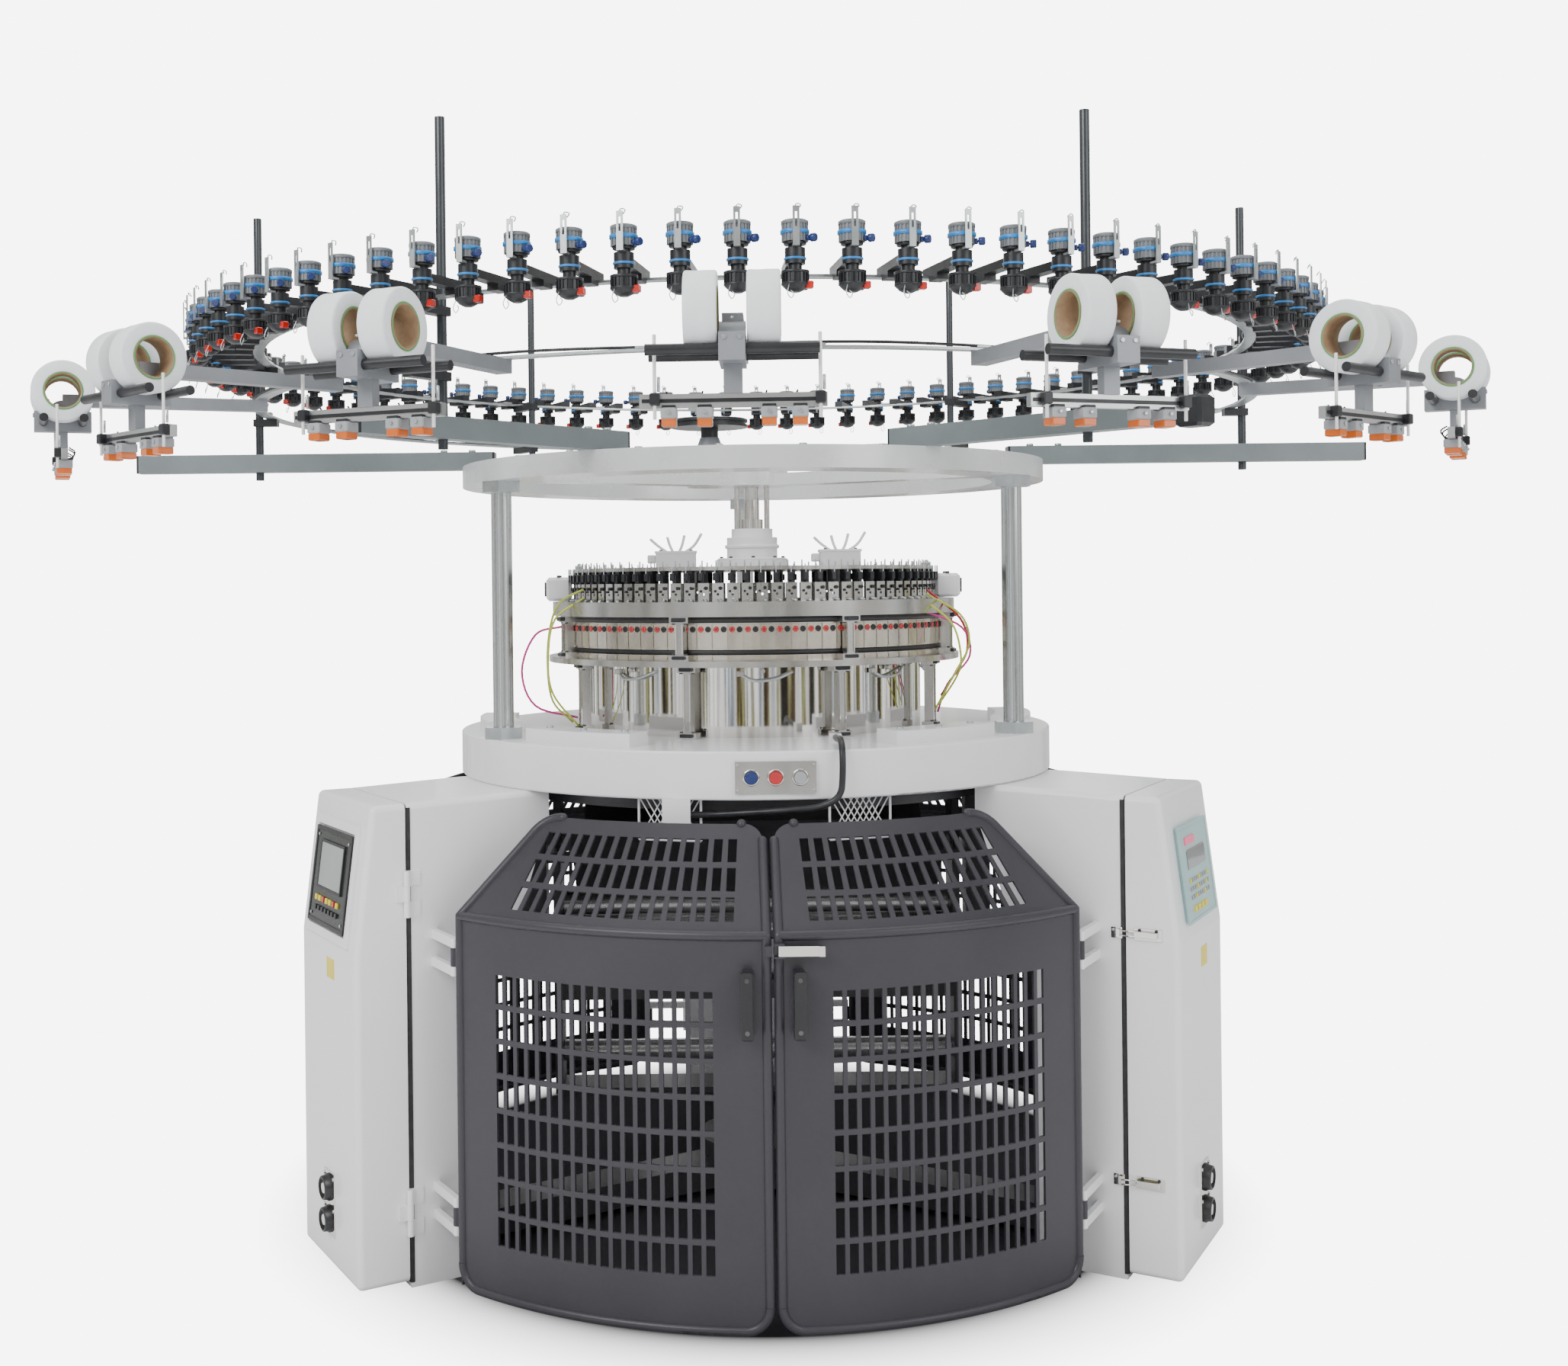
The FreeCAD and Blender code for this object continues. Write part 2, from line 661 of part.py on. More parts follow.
def build_buttons():
    """Bright plate with three push buttons on the bed's rim."""
    width, height, thick = BUTTON_PLATE
    face = -BED_R - thick
    middle = BUTTON_SPOTS[1]
    plate = block((width, 40, height), (middle, face + 20), BUTTON_Z - height / 2)
    plate = plate.cut(disc(BED_R + RUN, BED_LOW - 20, BED_TOP))
    names, wells = ("start_button", "stop_button", "inch_button"), []
    for name, x in zip(names, BUTTON_SPOTS):
        back = face + BUTTON_DEPTH - BUTTON_TRAVEL - 0.1
        save(name, [rod(BUTTON_R, (x, back - BUTTON_LENGTH, BUTTON_Z), (x, back, BUTTON_Z))])
        wells.append(rod(BUTTON_R + RUN, (x, face - 1, BUTTON_Z), (x, face + BUTTON_DEPTH, BUTTON_Z)))
    save("button_plate", [plate.cut(Part.makeCompound(wells))])


def route_path(points, share=0.45):
    """Straight runs joined by arcs that touch them, as one wire."""
    points = [V(*point) for point in points]
    edges, start = [], points[0]
    for before, corner, after in zip(points, points[1:], points[2:]):
        into, out = corner - before, after - corner
        turn = into.getAngle(out)
        short = min(into.Length, out.Length)
        tangent = share * short
        first = corner - into.normalize() * tangent
        last = corner + out.normalize() * tangent
        radius = tangent / math.tan(turn / 2)
        bisector = (last - corner).normalize() + (first - corner).normalize()
        centre = corner + bisector.normalize() * math.hypot(radius, tangent)
        middle = centre + (corner - centre).normalize() * radius
        edges += [Part.LineSegment(start, first).toShape(), Part.Arc(first, middle, last).toShape()]
        print("conduit bend radius", round(radius))
        start = last
    edges.append(Part.LineSegment(start, points[-1]).toShape())
    return Part.Wire(edges)


def build_conduit():
    """Black conduit that runs over the bed's rim and down under it."""
    path = route_path(CONDUIT_ROUTE)
    start, onward = V(*CONDUIT_ROUTE[0]), V(*CONDUIT_ROUTE[1])
    profile = Part.Wire(Part.makeCircle(CONDUIT_R, start, onward - start))
    tube = path.makePipeShell([profile], True, False)
    save("control_conduit", [tube])
    print("conduit", round(path.Length), round(tube.Volume / (math.pi * CONDUIT_R ** 2)))


# ---- knitting head ---------------------------------------------------------------
def i_bracket(radius, low, high):
    """I-shaped bracket standing on a ring."""
    width, depth = BRACKET_SIZE
    web = block((BRACKET_WEB, depth - 8, high - low), (0, -radius), low)
    foot = block((width, depth, BRACKET_FLANGE), (0, -radius), low)
    head = block((width, depth, BRACKET_FLANGE), (0, -radius), high - BRACKET_FLANGE)
    return fused([web, foot, head])


def build_head():
    """Chromed drum, cam ring, yarn carriers and the bracket tiers."""
    azimuths = evenly(BRACKETS, BRACKET_AZIMUTH)
    save("dial_drum", [ring(DRUM_R - DRUM_WALL, DRUM_R, BED_TOP, DRUM_TOP)])
    save("lower_brackets", around(i_bracket(LOWER_BRACKET_R, BED_TOP, DRUM_TOP), azimuths))
    save("cam_rim", [ring(DRUM_R - DRUM_WALL, RIM_R, DRUM_TOP, DRUM_TOP + RIM_THICK)])
    cam_low = DRUM_TOP + RIM_THICK
    cam = ring(CAM_INNER_R, CAM_R, cam_low, CAM_TOP)
    groove = ring(CAM_R - 8, CAM_R + 5, CAM_GROOVE[0], CAM_GROOVE[1])
    joint = block((1.6, 6, CAM_TOP - cam_low + 2), (0, -CAM_R), cam_low - 1)
    cam = cam.cut(groove).cut(Part.makeCompound(around(joint, evenly(FEEDS))))
    save("cam_ring", [cam])
    steel_low = STEEL_TOP - STEEL_THICK
    save("upper_brackets", around(i_bracket(UPPER_BRACKET_R, cam_low, steel_low), azimuths))
    steel = ring(STEEL_INNER_R, STEEL_R, steel_low, STEEL_TOP)
    seat = ring(CAM_INNER_R, CAM_R - 12, CAM_TOP, steel_low + 1)
    save("steel_ring", [fused([steel, seat])])
    build_carriers()
    build_hub()


def build_carriers():
    """One drilled carrier and one black holder for each feed."""
    height = CARRIER_TOP - STEEL_TOP
    carrier = block((26, 7, height), (0, -CARRIER_R), STEEL_TOP)
    drill = rod(3, (0, -CARRIER_R - 9, STEEL_TOP + 17), (0, -CARRIER_R + 9, STEEL_TOP + 17))
    upper = rod(2.2, (6, -CARRIER_R - 9, STEEL_TOP + 33), (6, -CARRIER_R + 9, STEEL_TOP + 33))
    carrier = carrier.cut(drill).cut(upper)
    save("yarn_carriers", around(carrier, evenly(FEEDS, 1.0)))
    stem = block((13, 20, HOLDER_TOP - CARRIER_TOP), (0, -CARRIER_R + 4), CARRIER_TOP)
    nose = disc(5, CARRIER_TOP, CARRIER_TOP + 20, (0, -CARRIER_R - 8))
    holders = around(fused([stem, nose]), evenly(FEEDS, 1.0))
    save("carrier_holders", holders)


def build_hub():
    """Dial plate, stepped hub, shafts up to the top ring and two actuator boxes."""
    low = HOLDER_TOP
    top = low + DIAL_PLATE_THICK
    holes = [disc(38, low - 1, top + 1, polar(300, a)) for a in evenly(6, 30)]
    plate = disc(DIAL_PLATE_R, low, top).cut(Part.makeCompound(holes))
    save("dial_plate", [plate])
    neck = disc(HUB_R - 12, HUB_TOP - 22, HUB_TOP)
    foot = disc(HUB_R + 26, top, top + 20)
    save("hub", [fused([foot, disc(HUB_R, top, HUB_TOP - 22), neck])])
    shaft = disc(SHAFT_R, HUB_TOP, RING_LOW)
    collar = disc(SHAFT_R + 9, HUB_TOP, HUB_TOP + 24)
    rods = [disc(ROD_R, HUB_TOP, RING_LOW, (x, -8)) for x in (-38, 38)]
    save("hub_shafts", [fused([shaft, collar])] + rods)
    boxes = []
    for x in BOX_SPOTS:
        body = block((96, 64, 34), (x, -270), top)
        boxes.append(soften(body, 5, lambda e: e.BoundBox.ZLength > 20))
    save("actuator_boxes", boxes)


def build_top():
    """Posts, top ring with its spider, and the belt drive on it."""
    spots = [polar(POST_CIRCLE, azimuth) for azimuth in LEG_AZIMUTHS]
    save("main_posts", [disc(POST_R, BED_TOP, RING_LOW, spot) for spot in spots])
    nuts = []
    for spot in spots:
        for low in (BED_TOP, RING_LOW - NUT_HEIGHT):
            corners = [V(spot[0], spot[1], low) + V(*polar(NUT_ACROSS / math.sqrt(3), 60 * k), 0)
                       for k in range(7)]
            nut = Part.Face(Part.makePolygon(corners)).extrude(V(0, 0, NUT_HEIGHT))
            nuts.append(nut.cut(disc(POST_R + RUN, low - 1, low + NUT_HEIGHT + 1, spot)))
    save("post_nuts", nuts)
    rim = ring(RING_INNER_R, RING_R, RING_LOW, RING_TOP)
    arm = block((SPIDER_WIDTH, RING_INNER_R + 5, 30), (0, -(RING_INNER_R + 5) / 2), RING_LOW)
    hub = disc(SPIDER_HUB_R, RING_LOW, RING_TOP)
    x, y = PULLEY_SPOT
    shelf = disc(58, RING_LOW, RING_TOP, PULLEY_SPOT)
    save("top_ring", [fused([rim, hub, shelf] + around(arm, LEG_AZIMUTHS))])
    cone = Part.makeCone(52, 24, 76, V(x, y, RING_TOP), UP)
    bore = disc(PULLEY_SHAFT_R + RUN, RING_TOP + 20, RING_TOP + 90, PULLEY_SPOT)
    save("pulley_pedestal", [cone.cut(bore)])
    shaft = disc(PULLEY_SHAFT_R, RING_TOP + 20 + GAP, PULLEY_HEIGHTS[1] + 22, PULLEY_SPOT)
    discs = [shaft, disc(22, RING_TOP + 77, PULLEY_HEIGHTS[0], PULLEY_SPOT)]
    for low, thick in zip(PULLEY_HEIGHTS, PULLEY_THICK):
        rim = disc(PULLEY_R, low, low + thick, PULLEY_SPOT)
        groove = disc(PULLEY_R + 1, low + thick / 3, low + 2 * thick / 3, PULLEY_SPOT)
        discs.append(rim.cut(groove.cut(disc(PULLEY_R - 5, low, low + thick, PULLEY_SPOT))))
    save("drive_pulleys", [fused(discs)])


# ---- creel ---------------------------------------------------------------------
def mirrored_four(point):
    """A front point's place in each quarter."""
    x, y = point
    return [(sx * x, sy * y) for sx in (-1, 1) for sy in (-1, 1)]


def hollow_beam(start, end):
    """Square tube lying on the top ring between two points."""
    run = V(end[0] - start[0], end[1] - start[1], 0)
    angle = math.degrees(math.atan2(run.y, run.x))
    outer = Part.makeBox(run.Length, BEAM, BEAM, V(0, -BEAM / 2, 0))
    wide = BEAM - 2 * BEAM_WALL
    inner = Part.makeBox(run.Length + 2, wide, wide, V(-1, -wide / 2, BEAM_WALL))
    beam = outer.cut(inner)
    beam.rotate(AXIS, UP, angle)
    beam.translate(V(start[0], start[1], RING_TOP))
    return beam


def beam_lines():
    """Start and end of the six creel beams."""
    fronts = zip(mirrored_four(FRONT_BEAM[0]), mirrored_four(FRONT_BEAM[1]))
    sides = [((s * SIDE_BEAM[0][0], 0), (s * SIDE_BEAM[1][0], 0)) for s in (-1, 1)]
    return list(fronts) + sides


def post_spots():
    """Places of the six tall creel posts."""
    return mirrored_four(FRONT_POST) + [(-SIDE_POST[0], 0), (SIDE_POST[0], 0)]


def rail_clamp(spot, rail_r, height):
    """Block that joins a post to a rail, bored for the post."""
    radius = math.hypot(*spot)
    azimuth = math.degrees(math.atan2(spot[0], -spot[1]))
    near = min(radius, rail_r) - CLAMP / 2
    far = max(radius, rail_r) + CLAMP / 2
    bar = block((CLAMP, far - near, 18), (0, -(near + far) / 2), height - 18)
    bore = disc(CREEL_POST_R + RUN, height - 30, height + 30, (0, -radius))
    return turned(bar.cut(bore), azimuth)


def build_creel():
    """Beams, posts, the two rails and their clamps."""
    low = RING_TOP - 20
    spots = post_spots()
    bores = Part.makeCompound([disc(CREEL_POST_R + RUN, low, low + 90, spot) for spot in spots])
    save("creel_beams", [hollow_beam(*line).cut(bores) for line in beam_lines()])
    save("creel_posts", [disc(CREEL_POST_R, low, CREEL_POST_TOP, spot) for spot in spots])
    clamps = [rail_clamp(spot, RAIL_R, FEED_RAIL_Z) for spot in spots]
    clamps += [rail_clamp(spot, LOW_RAIL_R, LOW_RAIL_Z) for spot in spots]
    save("rail_clamps", clamps)
    half = RAIL_WIDTH / 2
    save("feeder_rail", [ring(RAIL_R - half, RAIL_R + half, FEED_RAIL_Z, FEED_RAIL_Z + RAIL_THICK)])
    save("lower_rail", [ring(LOW_RAIL_R - half, LOW_RAIL_R + half, LOW_RAIL_Z,
                             LOW_RAIL_Z + RAIL_THICK)])


def feeder_body():
    """Black clamp, neck and lower housing of a yarn feeder."""
    low = FEED_RAIL_Z + RAIL_THICK
    inner = RAIL_R - RAIL_WIDTH / 2 - 4
    arm = block((24, FEEDER_R - inner, 16), (0, -(FEEDER_R + inner) / 2), low)
    jaw = block((24, 40, 14), (0, -(RAIL_R + RAIL_WIDTH / 2 + 21)), low - 12)
    neck = disc(FEEDER_NECK_R, FEEDER_WHEEL[2], FEEDER_PULLEY[1], (0, -FEEDER_R))
    head = disc(18, low - 6, low + HEAD_RISE, (0, -FEEDER_R))
    return fused([arm, jaw, neck, head])


def feeder_wheel():
    """Ribbed black yarn wheel below the neck, with its lower guide."""
    radius, low, high = FEEDER_WHEEL
    wheel = disc(radius, low + 12, high, (0, -FEEDER_R))
    stub = Part.makeCone(9, radius - 4, 12, V(0, -FEEDER_R, low), UP)
    return fused([wheel, stub])


def feeder_bracket():
    """Bright slotted strip that stands beside the pulley on the outside."""
    y = -FEEDER_R - FEEDER_PULLEY[0] - 5
    low, high = FEED_RAIL_Z + RAIL_THICK + HEAD_RISE, FEEDER_PULLEY[2] + 20
    strip = block((12, 2.5, high - low), (0, y), low)
    strip = strip.cut(block((4, 10, 26), (0, y), high - 36))
    foot = block((12, 16, 4), (0, y + 8), low)
    return fused([strip, foot])


def build_feeders():
    """Positive feeders all round the upper rail."""
    azimuths = evenly(FEEDS, FEEDER_START)
    save("feeder_bodies", around(feeder_body(), azimuths))
    radius, low, high = FEEDER_PULLEY
    save("feeder_pulleys", around(disc(radius, low, high, (0, -FEEDER_R)), azimuths))
    save("feeder_wheels", around(feeder_wheel(), azimuths))
    save("feeder_brackets", around(feeder_bracket(), azimuths))


def spandex_arm():
    """Cast arm from the lower rail out to the housing between two spools."""
    inner = LOW_RAIL_R - 12
    low = LOW_RAIL_Z - 26
    arm = block((34, SPOOL_CIRCLE - inner, 26), (0, -(SPOOL_CIRCLE + inner) / 2), low)
    cheek = rod(30, (-21, -SPOOL_CIRCLE, ROLL_ROD_Z + 18), (21, -SPOOL_CIRCLE, ROLL_ROD_Z + 18))
    body = block((42, 118, 44), (0, -SPOOL_CIRCLE), ROLL_ROD_Z - 20)
    tongue = block((30, 20, ROLL_ROD_Z - UNIT_RAIL_Z), (0, -SPOOL_CIRCLE), UNIT_RAIL_Z)
    return fused([arm, cheek, body, tongue])


def build_spandex():
    """Units that carry two elastane spools each, with their stop-motion rails."""
    names = {"arms": [], "rods": [], "spools": [], "cores": [], "rails": [], "sensors": []}
    rods = [rod(ROLL_ROD_R, (-ROLL_ROD_LENGTH / 2, -SPOOL_CIRCLE + s * ROLL_ROD_SPREAD, ROLL_ROD_Z),
                (ROLL_ROD_LENGTH / 2, -SPOOL_CIRCLE + s * ROLL_ROD_SPREAD, ROLL_ROD_Z))
            for s in (-1, 1)]
    bores = Part.makeCompound([rod(ROLL_ROD_R + RUN, (-60, -SPOOL_CIRCLE + s * ROLL_ROD_SPREAD, ROLL_ROD_Z),
                                   (60, -SPOOL_CIRCLE + s * ROLL_ROD_SPREAD, ROLL_ROD_Z)) for s in (-1, 1)])
    arm = spandex_arm().cut(bores)
    lift = math.sqrt((SPOOL_R + ROLL_ROD_R) ** 2 - ROLL_ROD_SPREAD ** 2)
    z = ROLL_ROD_Z + lift + 0.3
    spools, cores = [], []
    for side in (-1, 1):
        start = side * SPOOL_OFFSET - SPOOL_WIDTH / 2
        def wheel(radius):
            return rod(radius, (start, -SPOOL_CIRCLE, z), (start + SPOOL_WIDTH, -SPOOL_CIRCLE, z))
        spools.append(wheel(SPOOL_R).cut(wheel(CORE_R)))
        cores.append(wheel(CORE_R).cut(wheel(CORE_BORE_R)))
    rail = block((UNIT_RAIL_LENGTH, UNIT_RAIL[0], UNIT_RAIL[1]), (0, -SPOOL_CIRCLE), UNIT_RAIL_Z - UNIT_RAIL[1])
    sensors = [block(SENSOR_SIZE, (x, -SPOOL_CIRCLE), UNIT_RAIL_Z - UNIT_RAIL[1] - SENSOR_SIZE[2])
               for x in SENSOR_SPOTS]
    groups = zip(names, ([arm], rods, spools, cores, [rail], sensors))
    for name, shapes in groups:
        for shape in shapes:
            names[name] += around(shape, SPANDEX_AZIMUTHS)
    save("spandex_arms", names["arms"])
    save("spandex_rods", names["rods"])
    save("yarn_spools", names["spools"])
    save("spool_cores", names["cores"])
    save("spandex_rails", names["rails"])
    save("sensor_boxes", names["sensors"])


# ---- rotor -----------------------------------------------------------------------
def build_rotor():
    """Needle cylinder and the take-down frame that turns with it under the bed."""
    cylinder = ring(DRUM_R - DRUM_WALL - 46, BED_HOLE_R - 6, BED_LOW - GAP, CAM_TOP - 4)
    save("needle_cylinder", [cylinder])
    top = BED_LOW - GAP
    gear = ring(ROTOR_R - ROTOR_RING_WIDTH, ROTOR_R, top - ROTOR_RING_THICK, top)
    tie = ring(DRUM_R - DRUM_WALL - 46, ROTOR_R - ROTOR_RING_WIDTH + 2, top - 12, top)
    depth, thick = SIDE_PLATE
    plates = [block((thick, depth, top - 10 - SIDE_PLATE_LOW), (s * SIDE_PLATE_X, 0), SIDE_PLATE_LOW)
              for s in (-1, 1)]
    feet = [block((60, 60, top - 20 - 560), (s * 560, 0), 560) for s in (-1, 1)]
    floor = block((2 * SIDE_PLATE_X, depth, 14), (0, 0), SIDE_PLATE_LOW)
    stub = disc(40, BASE_TOP + GAP, SIDE_PLATE_LOW + 2)
    cross = [block((2 * SIDE_PLATE_X, 26, 40), (0, s * 47), 470) for s in (-1, 1)]
    spread = spreader()
    frame = fused([gear, tie, floor, stub] + plates + feet + cross + spread)
    holes = []
    for height, offset in roller_places():
        holes.append(rod(JOURNAL_R + RUN, (-700, offset, height), (700, offset, height)))
    save("takedown_frame", [frame.cut(Part.makeCompound(holes))])
    for (height, offset), name in zip(roller_places(), ("takedown_roller", "pressure_roller", "cloth_roller")):
        radius = CLOTH_ROLLER_R if name == "cloth_roller" else ROLLER_R
        reach = SIDE_PLATE_X - SIDE_PLATE[1] / 2 - 1
        barrel = rod(radius, (-reach, offset, height), (reach, offset, height))
        ends = SIDE_PLATE_X + SIDE_PLATE[1] / 2 + 5
        journal = rod(JOURNAL_R, (-ends, offset, height), (ends, offset, height))
        save(name, [fused([barrel, journal])])


def roller_places():
    """Height and offset of each roller."""
    touch = ROLLER_R + 0.4
    return (ROLLER_Z, 0), (ROLLER_Z + 2 * touch * 0.8, 2 * touch * 0.6), (CLOTH_ROLLER_Z, 0)


def spreader():
    """Sloping sheets that lead the cloth tube down to the rollers."""
    sheets = []
    for side in (-1, 1):
        sheet = block((900, 4, 300), (0, 0), -150)
        sheet.rotate(AXIS, V(1, 0, 0), -side * 48)
        sheet.translate(V(0, side * 190, 850))
        sheets.append(sheet)
    arms = [block((110, 24, 24), (s * 460, side * 190), 838) for s in (-1, 1) for side in (-1, 1)]
    rails = [block((24, 420, 24), (s * 505, 0), 838) for s in (-1, 1)]
    return sheets + arms + rails


os.makedirs("parts", exist_ok=True)
build_legs()
build_gates()
build_bed()
build_conduit()
build_head()
build_top()
build_creel()
build_feeders()
build_spandex()
build_rotor()
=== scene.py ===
import math

import bmesh
import bpy
from mathutils import Matrix, Vector


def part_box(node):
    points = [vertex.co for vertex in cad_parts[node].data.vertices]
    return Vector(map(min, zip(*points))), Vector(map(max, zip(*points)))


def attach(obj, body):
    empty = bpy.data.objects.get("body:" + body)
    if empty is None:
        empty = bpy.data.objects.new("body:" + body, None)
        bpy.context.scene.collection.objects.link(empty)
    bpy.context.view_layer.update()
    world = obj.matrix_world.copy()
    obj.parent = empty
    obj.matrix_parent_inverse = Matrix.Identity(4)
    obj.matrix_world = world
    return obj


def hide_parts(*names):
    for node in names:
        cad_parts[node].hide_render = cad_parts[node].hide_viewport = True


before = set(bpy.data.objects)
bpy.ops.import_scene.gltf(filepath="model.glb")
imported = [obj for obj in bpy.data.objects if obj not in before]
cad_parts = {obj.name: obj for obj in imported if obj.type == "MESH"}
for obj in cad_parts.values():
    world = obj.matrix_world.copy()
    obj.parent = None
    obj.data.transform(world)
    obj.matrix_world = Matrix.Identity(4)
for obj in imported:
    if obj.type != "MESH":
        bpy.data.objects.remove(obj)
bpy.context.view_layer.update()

# Looks of the circular knitting machine.  Metres, +Z up, the front facing -Y.
# A piece is drawn at the front (azimuth 0) and turned to its azimuth.

LEGS = {"left": -60, "right": 60, "rear": 180}
OPENINGS = {"front": 0, "side_right": 120, "side_left": 240}
FEEDS = 84
FEEDER_START = -2.65
FEEDER_R = 1.350
SPANDEX_AZIMUTHS = (-68.5, -46.6, -24.7, -2.75, 19.15, 41.05, 62.95)
SPOOL_CIRCLE = 1.640
BRACKETS = 8
BRACKET_AZIMUTH = 24
COVER_R = 1.118
COVER_TOP_R = 1.078
COVER_BEND = 0.730
COVER_TOP = 1.043
SEAM_R = 1.003
LEG_WIDTH = 0.373

BED_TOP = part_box("main_posts")[0].z
DRUM_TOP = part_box("dial_drum")[1].z
RIM_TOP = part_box("cam_rim")[1].z
CAM_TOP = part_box("cam_ring")[1].z
CAM_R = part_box("cam_ring")[1].x
STEEL_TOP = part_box("steel_ring")[1].z
PLATE_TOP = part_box("dial_plate")[1].z
PLATE_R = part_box("dial_plate")[1].x
RING_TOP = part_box("top_ring")[1].z
PULLEY_LOW, PULLEY_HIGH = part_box("feeder_pulleys")[0].z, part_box("feeder_pulleys")[1].z
WHEEL_LOW, WHEEL_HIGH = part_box("feeder_wheels")[0].z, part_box("feeder_wheels")[1].z
FEED_RAIL_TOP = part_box("feeder_rail")[1].z
LOW_RAIL_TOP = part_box("lower_rail")[1].z
SENSOR_LOW, SENSOR_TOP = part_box("sensor_boxes")[0].z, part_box("sensor_boxes")[1].z
SPOOL_LOW, SPOOL_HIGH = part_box("yarn_spools")[0].z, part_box("yarn_spools")[1].z
DRUM_FACE = 0.4215
LOWER_BRACKET_R = 0.455
UPPER_BRACKET_R = 0.498
CARRIER_FACE = 0.4535
CAM_SCREW_HEIGHT = 1.4065
CAM_FOOT_SCREW_HEIGHT = 1.354
CAM_BAND_HEIGHTS = (1.3405, 1.3820, 1.4085)
CAM_SEAM = (1.3478, 1.3602)
COLLAR_LOW = 1.598
SIDE_BOX_R = 0.490
SIDE_BOX_HEIGHT = 1.5005
UNIT_BOLT_HEIGHT = 1.894
UNIT_CAP_HEIGHT = 1.926
DISC_FACES = (1.926, 1.977)
BEAM_START, BEAM_END = (0.306, 0.540), (0.790, 1.090)
SIDE_BEAM_START, SIDE_BEAM_END = 0.655, 1.550
RING_BOLT_R, INNER_RING_BOLT_R = 0.690, 0.622
RAIL_CABLE_R = 1.226
RAIL_CLIP_R = 1.214
FEED_CLIP_R = 1.210
BLOCK_BOLT_R = 0.647
GRIP_HEIGHT = 0.687
GRIP_FOOT_HEIGHTS = (0.636, 0.738)
GRIP_R = 1.0205
GRIP_AZIMUTH = 2.9
PANEL_HEIGHT = 0.865
LATCH_HEIGHTS = (0.748, 0.215)
SOCKET_HEIGHTS = (0.185, 0.115)
SOCKET_PLATE_HEIGHT = 0.150
LABEL_HEIGHT = 0.672
BUTTON_SPOTS = (-0.031, 0.021, 0.073)


# ---- mesh helpers ----------------------------------------------------------------
def at(azimuth, radius=0.0, height=0.0, x=0.0):
    """Matrix that puts a piece drawn at the origin at a place round the machine."""
    turn = Matrix.Rotation(math.radians(azimuth), 4, "Z")
    return turn @ Matrix.Translation((x, -radius, height))


def evenly(count, start=0.0):
    """Azimuths of count places round the machine."""
    return [start + 360.0 * index / count for index in range(count)]


def add_faces(bm, verts, faces, mark, place):
    """Adds vertices and faces, with a material number, through a matrix."""
    made = [bm.verts.new(place @ Vector(vert)) for vert in verts]
    for face in faces:
        bm.faces.new([made[index] for index in face]).material_index = mark


def box(bm, size, centre, mark=0, place=Matrix()):
    """A box with chamfered edges."""
    chamfer = min(size) * 0.12
    half = [side / 2 for side in size]
    rings = []
    for z, inset in ((-1, chamfer), (-1, 0), (1, 0), (1, chamfer)):
        depth = half[2] if inset else half[2] - chamfer
        wide, deep = half[0] - inset, half[1] - inset
        cut = chamfer * 0.9
        rings.append([(x, y, z * depth) for x, y in (
            (wide - cut, -deep), (wide, -deep + cut), (wide, deep - cut), (wide - cut, deep),
            (-wide + cut, deep), (-wide, deep - cut), (-wide, -deep + cut), (-wide + cut, -deep))])
    verts = [tuple(a + b for a, b in zip(vert, centre)) for ring in rings for vert in ring]
    faces = [tuple(reversed(range(8))), tuple(range(24, 32))]
    for level in range(3):
        for index in range(8):
            after = (index + 1) % 8
            low, high = level * 8, level * 8 + 8
            faces.append((low + index, low + after, high + after, high + index))
    add_faces(bm, verts, faces, mark, place)


def skin(bm, rings, mark):
    """Smooth faces between rings of vertices."""
    for low, high in zip(rings, rings[1:]):
        for index in range(len(low)):
            after = (index + 1) % len(low)
            face = bm.faces.new((low[index], low[after], high[after], high[index]))
            face.smooth = True
            face.material_index = mark


def end_discs(bm, rings, mark):
    """Flat faces over the first and the last ring."""
    bm.faces.new(reversed(rings[0])).material_index = mark
    bm.faces.new(rings[-1]).material_index = mark


def lathe_open(bm, profile, segments, mark, place):
    """A turned skin from (radius, height) points, with no end discs."""
    rings = []
    for radius, height in profile:
        ring = []
        for index in range(segments):
            angle = 2 * math.pi * index / segments
            spot = Vector((radius * math.cos(angle), radius * math.sin(angle), height))
            ring.append(bm.verts.new(place @ spot))
        rings.append(ring)
    skin(bm, rings, mark)
    return rings


def lathe(bm, profile, segments=24, mark=0, place=Matrix()):
    """A turned shape from (radius, height) points, closed by a disc at each end."""
    end_discs(bm, lathe_open(bm, profile, segments, mark, place), mark)


def turned_to(direction, centre):
    """Matrix that turns a lathe's upright axis to a direction at a centre."""
    axis = Vector(direction).normalized()
    return Matrix.Translation(centre) @ axis.to_track_quat("Z", "Y").to_matrix().to_4x4()


def bar(bm, radius, start, end, segments=12, mark=0, place=Matrix()):
    """A round bar between two points, with softened ends."""
    start, end = Vector(start), Vector(end)
    length = (end - start).length
    soft = min(radius * 0.2, length * 0.2)
    profile = [(radius - soft, 0), (radius, soft), (radius, length - soft), (radius - soft, length)]
    lathe(bm, profile, segments, mark, place @ turned_to(end - start, start))


def bolt(bm, radius, height, crown, segments, mark, place):
    """A bolt head, rounded from its edge to a smaller radius on top."""
    lathe(bm, [(radius, 0), (radius, height), (crown, height + 0.001)], segments, mark, place)


def socket_bolt(bm, radius, height, place):
    """A bolt head with a round socket in its top."""
    lathe(bm, [(radius, 0), (radius, height), (radius - 0.002, height + 0.001), (0.004, height + 0.001),
               (0.004, height - 0.002)], 12, 0, place)


